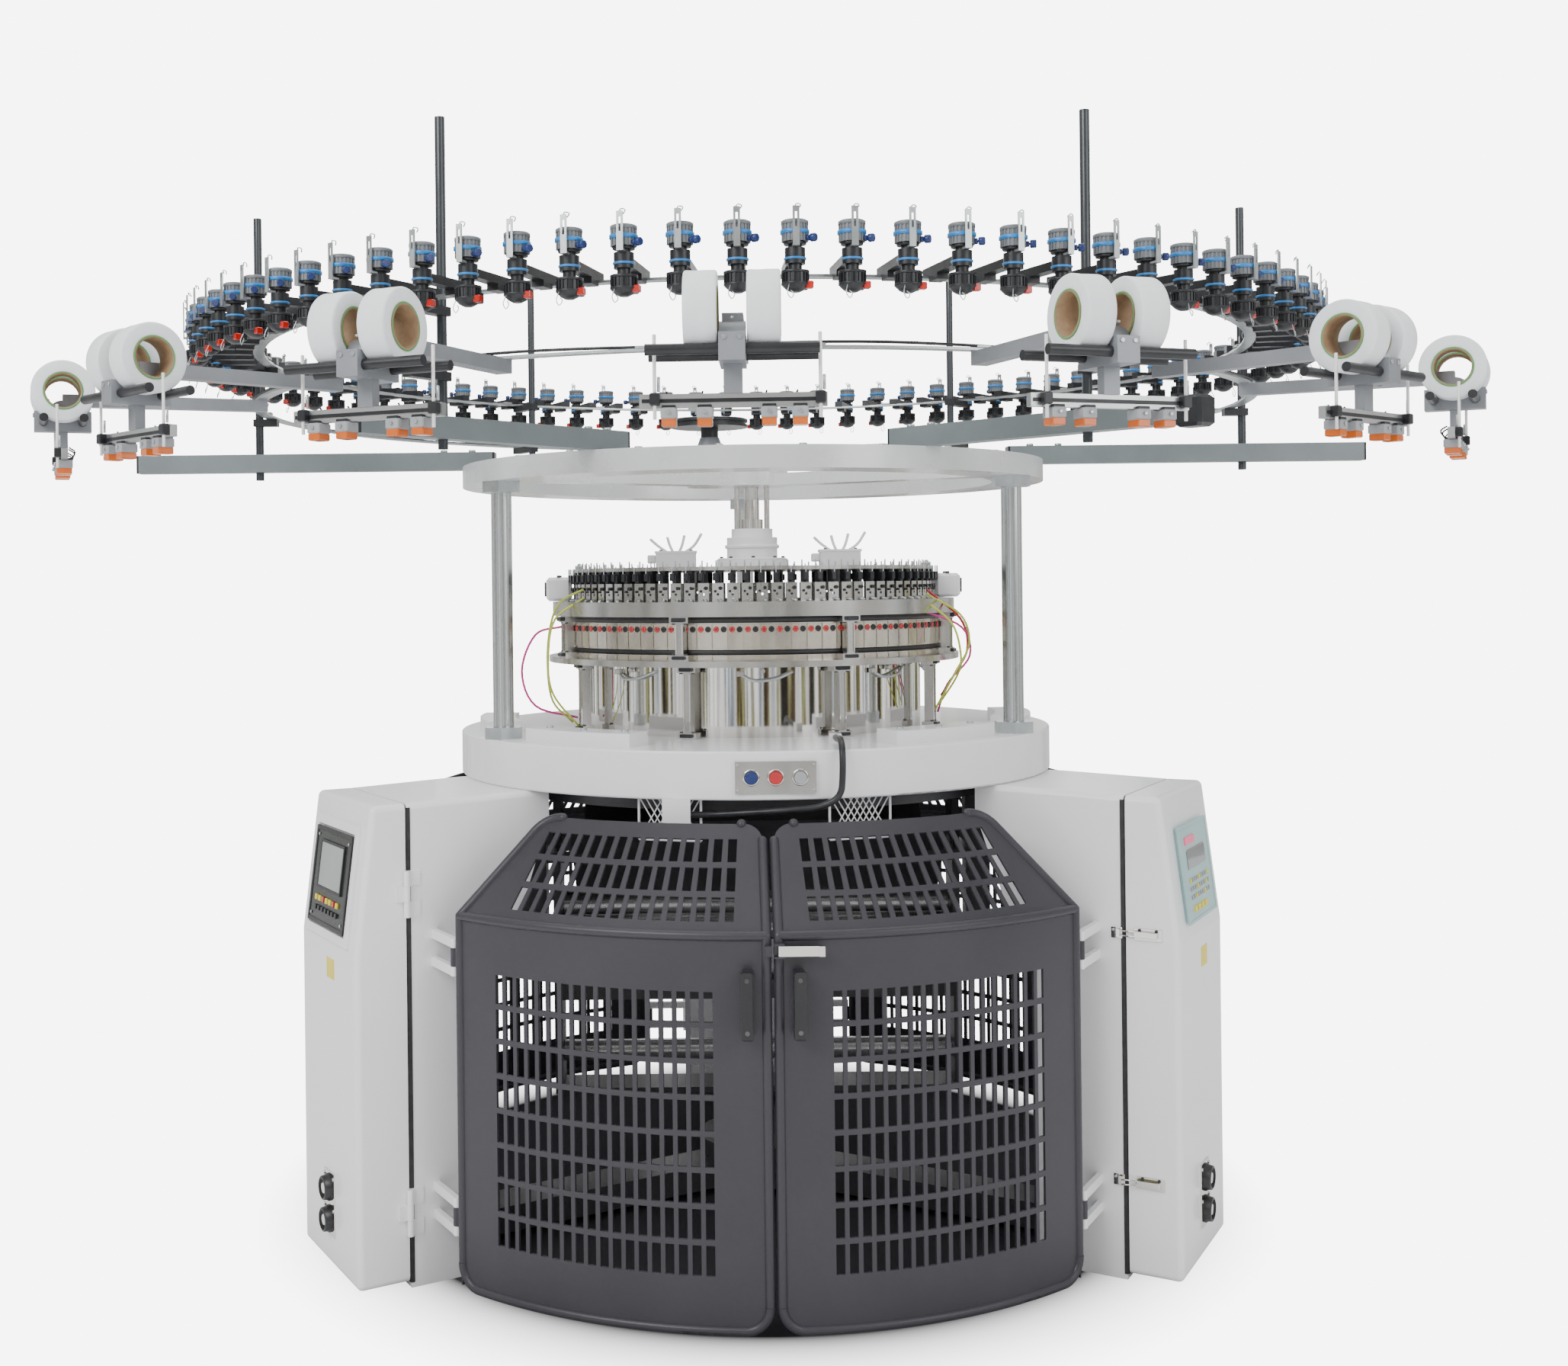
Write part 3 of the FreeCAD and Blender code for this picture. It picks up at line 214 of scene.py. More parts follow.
def smooth_path(points, steps=6):
    """Points along a Catmull-Rom curve through the given points."""
    points = [Vector(point) for point in points]
    padded = [2 * points[0] - points[1]] + points + [2 * points[-1] - points[-2]]
    path = []
    for a, b, c, d in zip(padded, padded[1:], padded[2:], padded[3:]):
        for step in range(steps):
            t = step / steps
            path.append(0.5 * (2 * b + (c - a) * t + (2 * a - 5 * b + 4 * c - d) * t * t
                               + (3 * b - a - 3 * c + d) * t ** 3))
    return path + [points[-1]]


def wire(bm, points, radius, segments=8, mark=0, place=Matrix(), steps=6):
    """A bent wire or tube along a smooth curve."""
    path = smooth_path(points, steps)
    rings = []
    side = None
    for index, point in enumerate(path):
        ahead = path[min(index + 1, len(path) - 1)] - path[max(index - 1, 0)]
        ahead.normalize()
        if side is None:
            side = ahead.orthogonal().normalized()
        side = (side - ahead * side.dot(ahead)).normalized()
        other = ahead.cross(side)
        ring = []
        for step in range(segments):
            angle = 2 * math.pi * step / segments
            offset = (side * math.cos(angle) + other * math.sin(angle)) * radius
            ring.append(bm.verts.new(place @ (point + offset)))
        rings.append(ring)
    skin(bm, rings, mark)
    end_discs(bm, rings, mark)


def repeat(draw, places):
    """A mesh of one drawn unit at each place."""
    unit = bmesh.new()
    draw(unit)
    mesh = bpy.data.meshes.new("unit")
    unit.to_mesh(mesh)
    unit.free()
    whole = bmesh.new()
    for place in places:
        copy = mesh.copy()
        copy.transform(place)
        whole.from_mesh(copy)
        bpy.data.meshes.remove(copy)
    bpy.data.meshes.remove(mesh)
    return whole


def piece(name, bm, body, materials, replaced=()):
    """Turns a bmesh into an object that rides on a body."""
    bmesh.ops.recalc_face_normals(bm, faces=bm.faces)
    mesh = bpy.data.meshes.new(name)
    bm.to_mesh(mesh)
    bm.free()
    made = bpy.data.objects.new(name, mesh)
    bpy.context.scene.collection.objects.link(made)
    for material in materials:
        mesh.materials.append(material)
    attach(made, body)
    if replaced:
        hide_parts(*replaced)
    return made


# ---- materials ---------------------------------------------------------------------
def add_node(nodes, kind, values=None):
    """Adds a shader node and sets the given inputs."""
    made = nodes.new("ShaderNode" + kind)
    for name, value in (values or {}).items():
        made.inputs[name].default_value = value
    return made


def surface(name, colour, rough, metal=0.0, other=None, scale=6.0, grain=400.0,
            bump=0.05, coat=0.0, stretch=(1, 1, 1), rough_spread=0.12, sheen=0.0, glow=0.0):
    """A finish with drifting colour, uneven gloss and a fine surface grain."""
    material = bpy.data.materials.new(name)
    material.use_nodes = True
    nodes, links = material.node_tree.nodes, material.node_tree.links
    shader = nodes["Principled BSDF"]
    shader.inputs["Metallic"].default_value = metal
    shader.inputs["Coat Weight"].default_value = coat
    shader.inputs["Sheen Weight"].default_value = sheen
    place = add_node(nodes, "TexCoord")
    mapping = add_node(nodes, "Mapping", {"Scale": stretch})
    links.new(place.outputs["Object"], mapping.inputs["Vector"])
    drift = add_node(nodes, "TexNoise", {"Scale": scale, "Detail": 6})
    links.new(mapping.outputs["Vector"], drift.inputs["Vector"])
    ramp = add_node(nodes, "ValToRGB")
    ramp.color_ramp.elements[0].position = 0.25
    ramp.color_ramp.elements[1].position = 0.75
    darker = other or tuple(channel * 0.86 for channel in colour)
    ramp.color_ramp.elements[0].color = (*darker, 1)
    ramp.color_ramp.elements[1].color = (*colour, 1)
    links.new(drift.outputs["Fac"], ramp.inputs["Fac"])
    links.new(ramp.outputs["Color"], shader.inputs["Base Color"])
    fine = add_node(nodes, "TexNoise", {"Scale": grain, "Detail": 3})
    links.new(mapping.outputs["Vector"], fine.inputs["Vector"])
    gloss = add_node(nodes, "MapRange", {"To Min": max(0.02, rough - rough_spread / 2),
                                         "To Max": rough + rough_spread / 2})
    links.new(drift.outputs["Fac"], gloss.inputs["Value"])
    links.new(gloss.outputs["Result"], shader.inputs["Roughness"])
    relief = add_node(nodes, "Bump", {"Strength": bump, "Distance": 0.001})
    links.new(fine.outputs["Fac"], relief.inputs["Height"])
    links.new(relief.outputs["Normal"], shader.inputs["Normal"])
    if glow:
        shader.inputs["Emission Color"].default_value = (*colour, 1)
        shader.inputs["Emission Strength"].default_value = glow
    return material


def translucent(name, colour, rough):
    """Coloured clear plastic."""
    material = surface(name, colour, rough, coat=0.4, bump=0.02)
    material.node_tree.nodes["Principled BSDF"].inputs["Transmission Weight"].default_value = 0.35
    return material


M = {
    "white": surface("white_paint", (0.86, 0.86, 0.875), 0.33, other=(0.80, 0.80, 0.82), scale=2.2,
        grain=260, bump=0.10, coat=0.25),
    "bed": surface("bed_paint", (0.84, 0.84, 0.86), 0.30, other=(0.78, 0.78, 0.80), scale=3, grain=300,
        bump=0.06, coat=0.3),
    "ring": surface("ring_paint", (0.76, 0.77, 0.78), 0.28, metal=0.25, other=(0.66, 0.67, 0.68), scale=5,
        grain=500, bump=0.05, coat=0.2),
    "gate": surface("gate_plastic", (0.036, 0.035, 0.044), 0.38, other=(0.027, 0.026, 0.033), scale=4,
        grain=900, bump=0.18),
    "gate_trim": surface("black_trim", (0.012, 0.012, 0.014), 0.38, other=(0.02, 0.02, 0.022), grain=700,
        bump=0.12),
    "chrome": surface("chrome", (0.80, 0.79, 0.76), 0.06, metal=1, other=(0.70, 0.68, 0.64), scale=9,
        grain=300, bump=0.012, rough_spread=0.06),
    "satin": surface("satin_steel", (0.66, 0.65, 0.63), 0.22, metal=1, other=(0.50, 0.49, 0.47), scale=14,
        grain=900, bump=0.05, stretch=(1, 1, 0.15)),
    "cam": surface("ground_steel", (0.80, 0.75, 0.66), 0.24, metal=1, other=(0.62, 0.57, 0.49), scale=26,
        grain=800, bump=0.05, stretch=(1, 1, 0.3)),
    "dark_steel": surface("oiled_steel", (0.16, 0.155, 0.15), 0.35, metal=0.9, other=(0.07, 0.07, 0.07),
        scale=18, grain=600, bump=0.08),
    "post": surface("post_steel", (0.72, 0.74, 0.75), 0.20, metal=1, other=(0.56, 0.59, 0.61), scale=7,
        grain=500, bump=0.04, stretch=(1, 1, 0.05)),
    "zinc": surface("zinc_plate", (0.62, 0.65, 0.66), 0.32, metal=0.9, other=(0.48, 0.52, 0.53), scale=30,
        grain=500, bump=0.06),
    "black": surface("black_plastic", (0.012, 0.013, 0.016), 0.34, other=(0.022, 0.023, 0.026), scale=30,
        grain=900, bump=0.12),
    "ribbed": surface("grey_plastic", (0.20, 0.215, 0.225), 0.45, other=(0.14, 0.15, 0.16), scale=25,
        grain=900, bump=0.12),
    "blue": surface("blue_band", (0.015, 0.23, 0.62), 0.30, other=(0.01, 0.17, 0.48), scale=20, grain=900,
        bump=0.08, coat=0.3),
    "navy": surface("navy_knob", (0.012, 0.025, 0.12), 0.28, other=(0.02, 0.04, 0.17), scale=30, grain=900,
        bump=0.08),
    "cast": surface("hammered_grey", (0.30, 0.315, 0.34), 0.40, metal=0.35, other=(0.24, 0.25, 0.27),
        scale=10, grain=320, bump=0.22),
    "sensor": surface("sensor_grey", (0.36, 0.375, 0.39), 0.42, other=(0.28, 0.29, 0.31), scale=18,
        grain=800, bump=0.12),
    "beam": surface("beam_paint", (0.215, 0.25, 0.255), 0.36, metal=0.3, other=(0.16, 0.185, 0.19), scale=5,
        grain=420, bump=0.10),
    "tube": surface("black_tube", (0.018, 0.022, 0.026), 0.30, other=(0.035, 0.042, 0.048), scale=12,
        grain=500, bump=0.08, coat=0.3),
    "inner": surface("dark_frame", (0.035, 0.035, 0.04), 0.40, other=(0.06, 0.06, 0.066), scale=6,
        grain=400, bump=0.12),
    "sheet": surface("bright_sheet", (0.60, 0.60, 0.61), 0.25, metal=0.8, other=(0.46, 0.46, 0.47), scale=6,
        grain=600, bump=0.05),
    "alloy": surface("anodised_alloy", (0.66, 0.67, 0.68), 0.30, metal=0.9, other=(0.54, 0.55, 0.56),
        scale=14, grain=900, bump=0.06, stretch=(0.1, 1, 1)),
    "yarn": surface("wound_filament", (0.86, 0.885, 0.90), 0.55, other=(0.79, 0.82, 0.84), scale=30,
        grain=900, bump=0.30, sheen=0.35),
    "board": surface("spiral_board", (0.36, 0.235, 0.13), 0.75, other=(0.25, 0.155, 0.08), scale=60,
        grain=500, bump=0.35),
    "green": surface("green_rim", (0.10, 0.34, 0.10), 0.5, scale=40, grain=700, bump=0.1),
    "red": surface("red_enamel", (0.58, 0.015, 0.02), 0.25, other=(0.40, 0.01, 0.012), scale=50, grain=600,
        bump=0.05, coat=0.5),
    "lamp": translucent("red_lamp", (0.80, 0.02, 0.01), 0.18),
    "orange": translucent("orange_lens", (0.95, 0.20, 0.02), 0.20),
    "seal": surface("black_seal", (0.015, 0.015, 0.016), 0.6, other=(0.03, 0.03, 0.03), scale=50, grain=900,
        bump=0.2),
    "ceramic": surface("ceramic", (0.88, 0.88, 0.86), 0.22, scale=60, grain=900, bump=0.04),
    "glass": surface("screen_glass", (0.23, 0.25, 0.255), 0.12, other=(0.17, 0.185, 0.19), scale=3,
        grain=500, bump=0.01, coat=0.8),
    "dark_face": surface("dark_bezel", (0.016, 0.020, 0.018), 0.26, other=(0.025, 0.03, 0.028), scale=10,
        grain=800, bump=0.06),
    "membrane": surface("teal_membrane", (0.38, 0.55, 0.54), 0.38, other=(0.31, 0.48, 0.48), scale=8,
        grain=900, bump=0.08),
    "key_yellow": surface("yellow_key", (0.80, 0.66, 0.03), 0.4, scale=30, grain=900, bump=0.08),
    "key_pink": surface("pink_window", (0.85, 0.12, 0.25), 0.25, scale=30, grain=900, bump=0.04, glow=0.3),
    "lime_tube": surface("lime_tube", (0.55, 0.62, 0.06), 0.3, scale=30, grain=900, bump=0.05, coat=0.3),
    "magenta_tube": surface("magenta_tube", (0.70, 0.03, 0.28), 0.3, scale=30, grain=900, bump=0.05,
        coat=0.3),
    "paper": surface("loose_cloth", (0.86, 0.87, 0.87), 0.8, scale=30, grain=500, bump=0.3),
}


# ---- camera, light and floor ---------------------------------------------------------
SENSOR = 36.0
LENS = 39.2902
CAMERA_PLACE = (-0.137, -4.35, 1.512)
CAMERA_ROLL = -0.65
VIEW_SHIFT = (0.054448, -0.063685)
BACKDROP_GLOW = 7.0
# radius band over which the floor's painted shade under the machine fades out
SHADE_START, SHADE_END = 0.92, 1.25
FLOOR_REACH = 8.0


def add_camera():
    """Level camera at the height of the cylinder, with the frame moved a little down and right."""
    data = bpy.data.cameras.new("camera")
    data.sensor_width = SENSOR
    data.lens = LENS
    data.shift_x, data.shift_y = VIEW_SHIFT
    camera = bpy.data.objects.new("camera", data)
    bpy.context.scene.collection.objects.link(camera)
    turn = Matrix.Rotation(math.radians(90), 4, "X") @ Matrix.Rotation(math.radians(CAMERA_ROLL), 4, "Z")
    camera.matrix_world = Matrix.Translation(CAMERA_PLACE) @ turn
    bpy.context.scene.camera = camera


def add_light(name, place, size, power, target=(0, 0, 1.2)):
    """A large soft lamp that faces a point."""
    data = bpy.data.lights.new(name, "AREA")
    data.shape = "RECTANGLE"
    data.size, data.size_y = size
    data.energy = power
    lamp = bpy.data.objects.new(name, data)
    bpy.context.scene.collection.objects.link(lamp)
    aim = (Vector(target) - Vector(place)).to_track_quat("-Z", "Y")
    lamp.matrix_world = Matrix.Translation(place) @ aim.to_matrix().to_4x4()


def floor_paint():
    """White sweep that runs into the backdrop, darker where the machine shades it."""
    material = surface("floor_paint", (0.90, 0.90, 0.905), 0.7, scale=0.6, grain=60, bump=0.01,
                       other=(0.885, 0.885, 0.89))
    nodes, links = material.node_tree.nodes, material.node_tree.links
    place = add_node(nodes, "TexCoord")
    reach = add_node(nodes, "VectorMath")
    reach.operation = "LENGTH"
    links.new(place.outputs["Object"], reach.inputs[0])
    shade = add_node(nodes, "MapRange", {"From Min": SHADE_START, "From Max": SHADE_END})
    links.new(reach.outputs["Value"], shade.inputs["Value"])
    bright = add_node(nodes, "Emission", {"Strength": BACKDROP_GLOW})
    path = add_node(nodes, "LightPath")
    part = add_node(nodes, "Math")
    part.operation = "MULTIPLY"
    links.new(path.outputs["Is Camera Ray"], part.inputs[0])
    links.new(shade.outputs["Result"], part.inputs[1])
    # painted shade: a dark diffuse patch on the floor inside the shade radius, standing in for the shadow
    # under the machine
    painted_shade = add_node(nodes, "BsdfDiffuse", {"Color": (0.05, 0.05, 0.055, 1)})
    under = add_node(nodes, "MixShader")
    links.new(shade.outputs["Result"], under.inputs["Fac"])
    links.new(painted_shade.outputs["BSDF"], under.inputs[1])
    links.new(nodes["Principled BSDF"].outputs["BSDF"], under.inputs[2])
    mix = add_node(nodes, "MixShader")
    links.new(part.outputs["Value"], mix.inputs["Fac"])
    links.new(under.outputs["Shader"], mix.inputs[1])
    links.new(bright.outputs["Emission"], mix.inputs[2])
    links.new(mix.outputs["Shader"], nodes["Material Output"].inputs["Surface"])
    return material


def add_studio():
    """Pale floor, white surround with soft grey bands for the bright metal, and soft lamps."""
    floor_mesh = bpy.data.meshes.new("floor")
    reach = FLOOR_REACH
    corners = [(-reach, -reach, 0), (reach, -reach, 0), (reach, reach, 0), (-reach, reach, 0)]
    floor_mesh.from_pydata(corners, [], [(0, 1, 2, 3)])
    floor = bpy.data.objects.new("floor", floor_mesh)
    bpy.context.scene.collection.objects.link(floor)
    floor_mesh.materials.append(floor_paint())
    world = bpy.data.worlds.new("studio")
    bpy.context.scene.world = world
    world.use_nodes = True
    nodes, links = world.node_tree.nodes, world.node_tree.links
    place = add_node(nodes, "TexCoord")
    bands = add_node(nodes, "TexNoise", {"Scale": 5.0, "Detail": 3})
    mapping = add_node(nodes, "Mapping", {"Scale": (2.6, 2.6, 0.25)})
    ramp = add_node(nodes, "ValToRGB")
    stops = ((0.36, (0.015, 0.015, 0.017)), (0.43, (0.08, 0.05, 0.03)), (0.455, (0.36, 0.38, 0.16)),
             (0.48, (0.03, 0.03, 0.03)), (0.505, (1.0, 1.0, 1.0)), (0.56, (0.55, 0.55, 0.55)),
             (0.59, (0.06, 0.11, 0.18)), (0.64, (1.0, 1.0, 1.0)))
    while len(ramp.color_ramp.elements) < len(stops):
        ramp.color_ramp.elements.new(0.5)
    for element, (position, colour) in zip(ramp.color_ramp.elements, stops):
        element.position = position
        element.color = (*colour, 1)
    links.new(place.outputs["Generated"], mapping.inputs["Vector"])
    links.new(mapping.outputs["Vector"], bands.inputs["Vector"])
    links.new(bands.outputs["Fac"], ramp.inputs["Fac"])
    reflected = nodes["Background"]
    reflected.inputs["Strength"].default_value = 1.5
    links.new(ramp.outputs["Color"], reflected.inputs["Color"])
    even = add_node(nodes, "Background", {"Color": (1, 1, 1, 1), "Strength": 1.0})
    backdrop = add_node(nodes, "Background", {"Color": (1, 1, 1, 1), "Strength": BACKDROP_GLOW})
    path = add_node(nodes, "LightPath")
    gloss = add_node(nodes, "MixShader")
    links.new(path.outputs["Is Glossy Ray"], gloss.inputs["Fac"])
    links.new(even.outputs["Background"], gloss.inputs[1])
    links.new(reflected.outputs["Background"], gloss.inputs[2])
    sight = add_node(nodes, "MixShader")
    links.new(path.outputs["Is Camera Ray"], sight.inputs["Fac"])
    links.new(gloss.outputs["Shader"], sight.inputs[1])
    links.new(backdrop.outputs["Background"], sight.inputs[2])
    links.new(sight.outputs["Shader"], nodes["World Output"].inputs["Surface"])
    add_light("key", (-3.2, -4.6, 4.6), (3.5, 2.5), 230)
    add_light("fill", (3.8, -4.2, 3.4), (3.0, 3.0), 80)
    add_light("top", (0, 0.5, 5.5), (5.0, 5.0), 120)
    add_light("back", (0, 5.2, 3.6), (5.0, 3.0), 80)


# ---- finishes of the carried-over parts ------------------------------------------------
FINISHES = {
    "white": ["leg_left", "leg_right", "leg_rear", "cover_left", "cover_right", "cover_rear", "hub",
              "actuator_boxes"],
    "bed": ["bed_plate", "bed_blocks"],
    "ring": ["top_ring"],
    "chrome": ["dial_drum", "hub_shafts", "gate_latch"],
    "satin": ["lower_brackets", "upper_brackets", "steel_ring", "dial_plate", "cam_rim", "needle_cylinder",
              "button_plate", "yarn_carriers"],
    "cam": ["cam_ring"],
    "post": ["main_posts"],
    "zinc": ["post_nuts", "feeder_rail", "lower_rail", "feeder_brackets"],
    "black": ["feeder_bodies", "rail_clamps", "carrier_holders", "spandex_rods", "control_conduit",
              "drive_pulleys", "feeder_wheels"],
    "cast": ["spandex_arms", "pulley_pedestal"],
    "beam": ["creel_beams"],
    "tube": ["creel_posts"],
    "inner": ["takedown_frame", "base_spider"],
    "sheet": ["takedown_roller", "pressure_roller", "cloth_roller"],
    "alloy": ["spandex_rails"],
    "yarn": ["yarn_spools"],
    "board": ["spool_cores"],
    "sensor": ["sensor_boxes", "inch_button"],
    "ribbed": ["feeder_pulleys"],
    "dark_face": ["screen_left"],
    "membrane": ["panel_right"],
    "navy": ["start_button"],
    "red": ["stop_button"],
}


def finish_nodes():
    """Gives every carried-over part its finish."""
    for key, names in FINISHES.items():
        for name in names:
            set_finish(name, M[key])
    for opening in OPENINGS:
        for side in ("l", "r"):
            set_finish("gate_%s_%s" % (opening, side), M["gate"])


def set_finish(name, material):
    """Puts one material in a carried-over part's slots."""
    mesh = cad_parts[name].data
    if not mesh.materials:
        mesh.materials.append(material)
    for index in range(len(mesh.materials)):
        mesh.materials[index] = material


# ---- yarn feeders -------------------------------------------------------------------------
def ribbed(bm, radius, depth, low, high, teeth, mark, place=Matrix()):
    """A short drum with upright ribs round it."""
    outline = []
    for tooth in range(teeth):
        for share, reach in ((0.0, radius), (0.5, radius), (0.5, radius - depth), (1.0, radius - depth)):
            angle = 2 * math.pi * (tooth + share) / teeth
            outline.append((reach * math.cos(angle), reach * math.sin(angle)))
    count = len(outline)
    verts = [(x, y, z) for z in (low, high) for x, y in outline]
    faces = [(i, (i + 1) % count, count + (i + 1) % count, count + i) for i in range(count)]
    faces += [tuple(reversed(range(count))), tuple(range(count, 2 * count))]
    add_faces(bm, verts, faces, mark, place)


FEEDER_MARKS = ["ribbed", "blue", "black", "navy", "zinc", "lamp"]


def draw_feeder(bm):
    """One feeder's pulley, wheel, tensioner, lamp and eyelets, on its own axis."""
    low, high = PULLEY_LOW, PULLEY_HIGH
    radius = 0.0236
    ribbed(bm, radius, 0.0016, low + 0.002, high - 0.008, 20, 0)
    lathe(bm, [(radius + 0.0006, high - 0.008), (radius + 0.0006, high - 0.002), (radius - 0.003, high),
               (0.008, high), (0.006, high - 0.002)], 20, 0)
    band = low + 0.015
    lathe(bm, [(radius, band), (radius + 0.0022, band + 0.001), (radius + 0.0022, band + 0.007),
               (radius, band + 0.008)], 24, 1)
    lathe(bm, [(0.0, low - 0.003), (radius - 0.004, low - 0.003), (radius - 0.003, low + 0.002)], 20, 2)
    wheel_high = WHEEL_HIGH
    wheel_low = WHEEL_LOW + 0.012
    ribbed(bm, 0.0245, 0.0022, wheel_low + 0.003, wheel_high - 0.006, 20, 2)
    lathe(bm, [(0.021, wheel_high - 0.006), (0.0250, wheel_high - 0.005), (0.0250, wheel_high - 0.001),
               (0.014, wheel_high)], 20, 2)
    lathe(bm, [(0.008, WHEEL_LOW), (0.016, WHEEL_LOW + 0.004), (0.0250, wheel_low + 0.001),
               (0.0250, wheel_low + 0.004), (0.02, wheel_low + 0.004)], 20, 2)
    foot = FEED_RAIL_TOP
    lathe(bm, [(0.0185, foot + 0.001), (0.0200, foot + 0.002), (0.0200, foot + 0.0045),
               (0.0185, foot + 0.0055)], 20, 1)
    knob = FEED_RAIL_TOP + 0.038
    bar(bm, 0.0022, (0.010, -0.006, knob), (0.032, -0.017, knob), 6, 4)
    bar(bm, 0.0075, (0.026, -0.014, knob), (0.036, -0.020, knob), 10, 3)
    bar(bm, 0.0055, (0.019, -0.011, knob), (0.025, -0.0138, knob), 8, 3)
    lamp = WHEEL_LOW + 0.012
    box(bm, (0.014, 0.014, 0.013), (0.024, -0.006, lamp), 5)
    box(bm, (0.018, 0.010, 0.020), (0.014, 0.012, lamp + 0.004), 2)
    wire(bm, [(-0.012, -0.020, wheel_low), (-0.016, -0.026, WHEEL_LOW - 0.004),
              (-0.010, -0.027, WHEEL_LOW - 0.014), (-0.005, -0.025, WHEEL_LOW - 0.006),
              (-0.010, -0.022, WHEEL_LOW)], 0.0010, 5, 4, steps=3)
    top = PULLEY_HIGH + 0.016
    wire(bm, [(0.004, -0.020, top), (0.009, -0.023, top + 0.006), (0.002, -0.0265, top + 0.008),
              (-0.003, -0.023, top + 0.003)], 0.0012, 5, 4, steps=3)


def add_feeders():
    """Detailed feeders all round the upper rail."""
    places = [at(azimuth, FEEDER_R) for azimuth in evenly(FEEDS, FEEDER_START)]
    bm = repeat(draw_feeder, places)
    piece("feeder_tops", bm, "frame", [M[key] for key in FEEDER_MARKS],
          ("feeder_pulleys", "feeder_wheels"))


# ---- elastane units ------------------------------------------------------------------------
SPOOL_SIDES = (-0.050, 0.050)
SPOOL_HALF = 0.027
CORE_RADIUS = 0.041
SENSOR_SPOTS = (-0.102, -0.045, 0.057, 0.106)
CERAMIC_SPOTS = (-0.124, 0.138)


def draw_spool(bm, side):
    """Wound spool on a board core, its axis along the tangent."""
    centre = (SPOOL_LOW + SPOOL_HIGH) / 2
    radius = (SPOOL_HIGH - SPOOL_LOW) / 2 - 0.0002
    place = turned_to((1, 0, 0), (side - SPOOL_HALF, 0, centre))
    width = 2 * SPOOL_HALF
    soft = 0.004
    face = [(CORE_RADIUS + 0.0002, 0.0015), (CORE_RADIUS + 0.010, 0.0004), (radius * 0.8, 0.0009),
            (radius - soft, 0.0002), (radius - soft * 0.3, soft * 0.4), (radius, soft)]
    back = [(r, width - z) for r, z in reversed(face)]
    shell = face + [(radius - 0.0006, width * 0.35), (radius, width * 0.6)] + back
    lathe_open(bm, shell, 56, 0, place)
    inner = CORE_RADIUS - 0.005
    core = [(CORE_RADIUS, 0.0015), (CORE_RADIUS - 0.001, 0), (inner, 0), (inner, width),
            (CORE_RADIUS - 0.001, width), (CORE_RADIUS, width - 0.0015)]
    lathe_open(bm, core, 40, 1, place)
    for z in (0.0, width):
        out = -0.0003 if z == 0 else 0.0003
        ring = [(CORE_RADIUS - 0.0030, z), (CORE_RADIUS - 0.0028, z + out), (CORE_RADIUS - 0.0004, z + out),
                (CORE_RADIUS - 0.0002, z)]
        lathe_open(bm, ring, 40, 2, place)


def draw_unit(bm):
    """Sensors, lenses, ceramic rods and clamps of one elastane unit."""
    middle = (SENSOR_LOW + SENSOR_TOP) / 2
    rail = SENSOR_TOP + 0.011
    for x in SENSOR_SPOTS:
        box(bm, (0.026, 0.034, 0.018), (x, 0, SENSOR_TOP - 0.009), 0)
        box(bm, (0.022, 0.030, 0.006), (x, 0, SENSOR_TOP + 0.001), 2)
        box(bm, (0.0235, 0.031, 0.0125), (x, 0, SENSOR_LOW + 0.0065), 1)
        bar(bm, 0.003, (x, -0.017, SENSOR_TOP - 0.008), (x, -0.0215, SENSOR_TOP - 0.008), 8, 3)
        wire(bm, [(x - 0.006, 0.012, SENSOR_TOP), (x - 0.007, 0.022, rail + 0.006),
                  (x - 0.004, 0.010, rail + 0.016)], 0.0016, 6, 2, steps=4)
    for x in CERAMIC_SPOTS:
        bar(bm, 0.0030, (x, -0.014, middle - 0.004), (x, -0.014, SPOOL_LOW + 0.030), 8, 4)
        box(bm, (0.016, 0.022, 0.020), (x, -0.010, rail + 0.002), 2)
        bar(bm, 0.0026, (x + 0.006, -0.010, rail + 0.014), (x + 0.006, -0.010, rail + 0.038), 8, 3)
    box(bm, (0.290, 0.0025, 0.006), (0, -0.0078, rail), 2)
    for x in (-0.012, 0.012):
        bar(bm, 0.004, (x, -0.059, UNIT_BOLT_HEIGHT), (x, -0.0615, UNIT_BOLT_HEIGHT), 8, 3)
    bar(bm, 0.0035, (0, -0.03, UNIT_CAP_HEIGHT), (0, -0.03, UNIT_CAP_HEIGHT + 0.004), 8, 3)


def add_units():
    """Spools, cores, sensors and ceramic rods of the elastane units."""
    places = [at(azimuth, SPOOL_CIRCLE) for azimuth in SPANDEX_AZIMUTHS]
    spools = repeat(lambda bm: [draw_spool(bm, side) for side in SPOOL_SIDES], places)
    piece("wound_spools", spools, "frame", [M["yarn"], M["board"], M["green"]],
          ("yarn_spools", "spool_cores"))
    details = repeat(draw_unit, places)
    piece("unit_details", details, "frame",
          [M["sensor"], M["orange"], M["black"], M["zinc"], M["ceramic"]], ("sensor_boxes",))


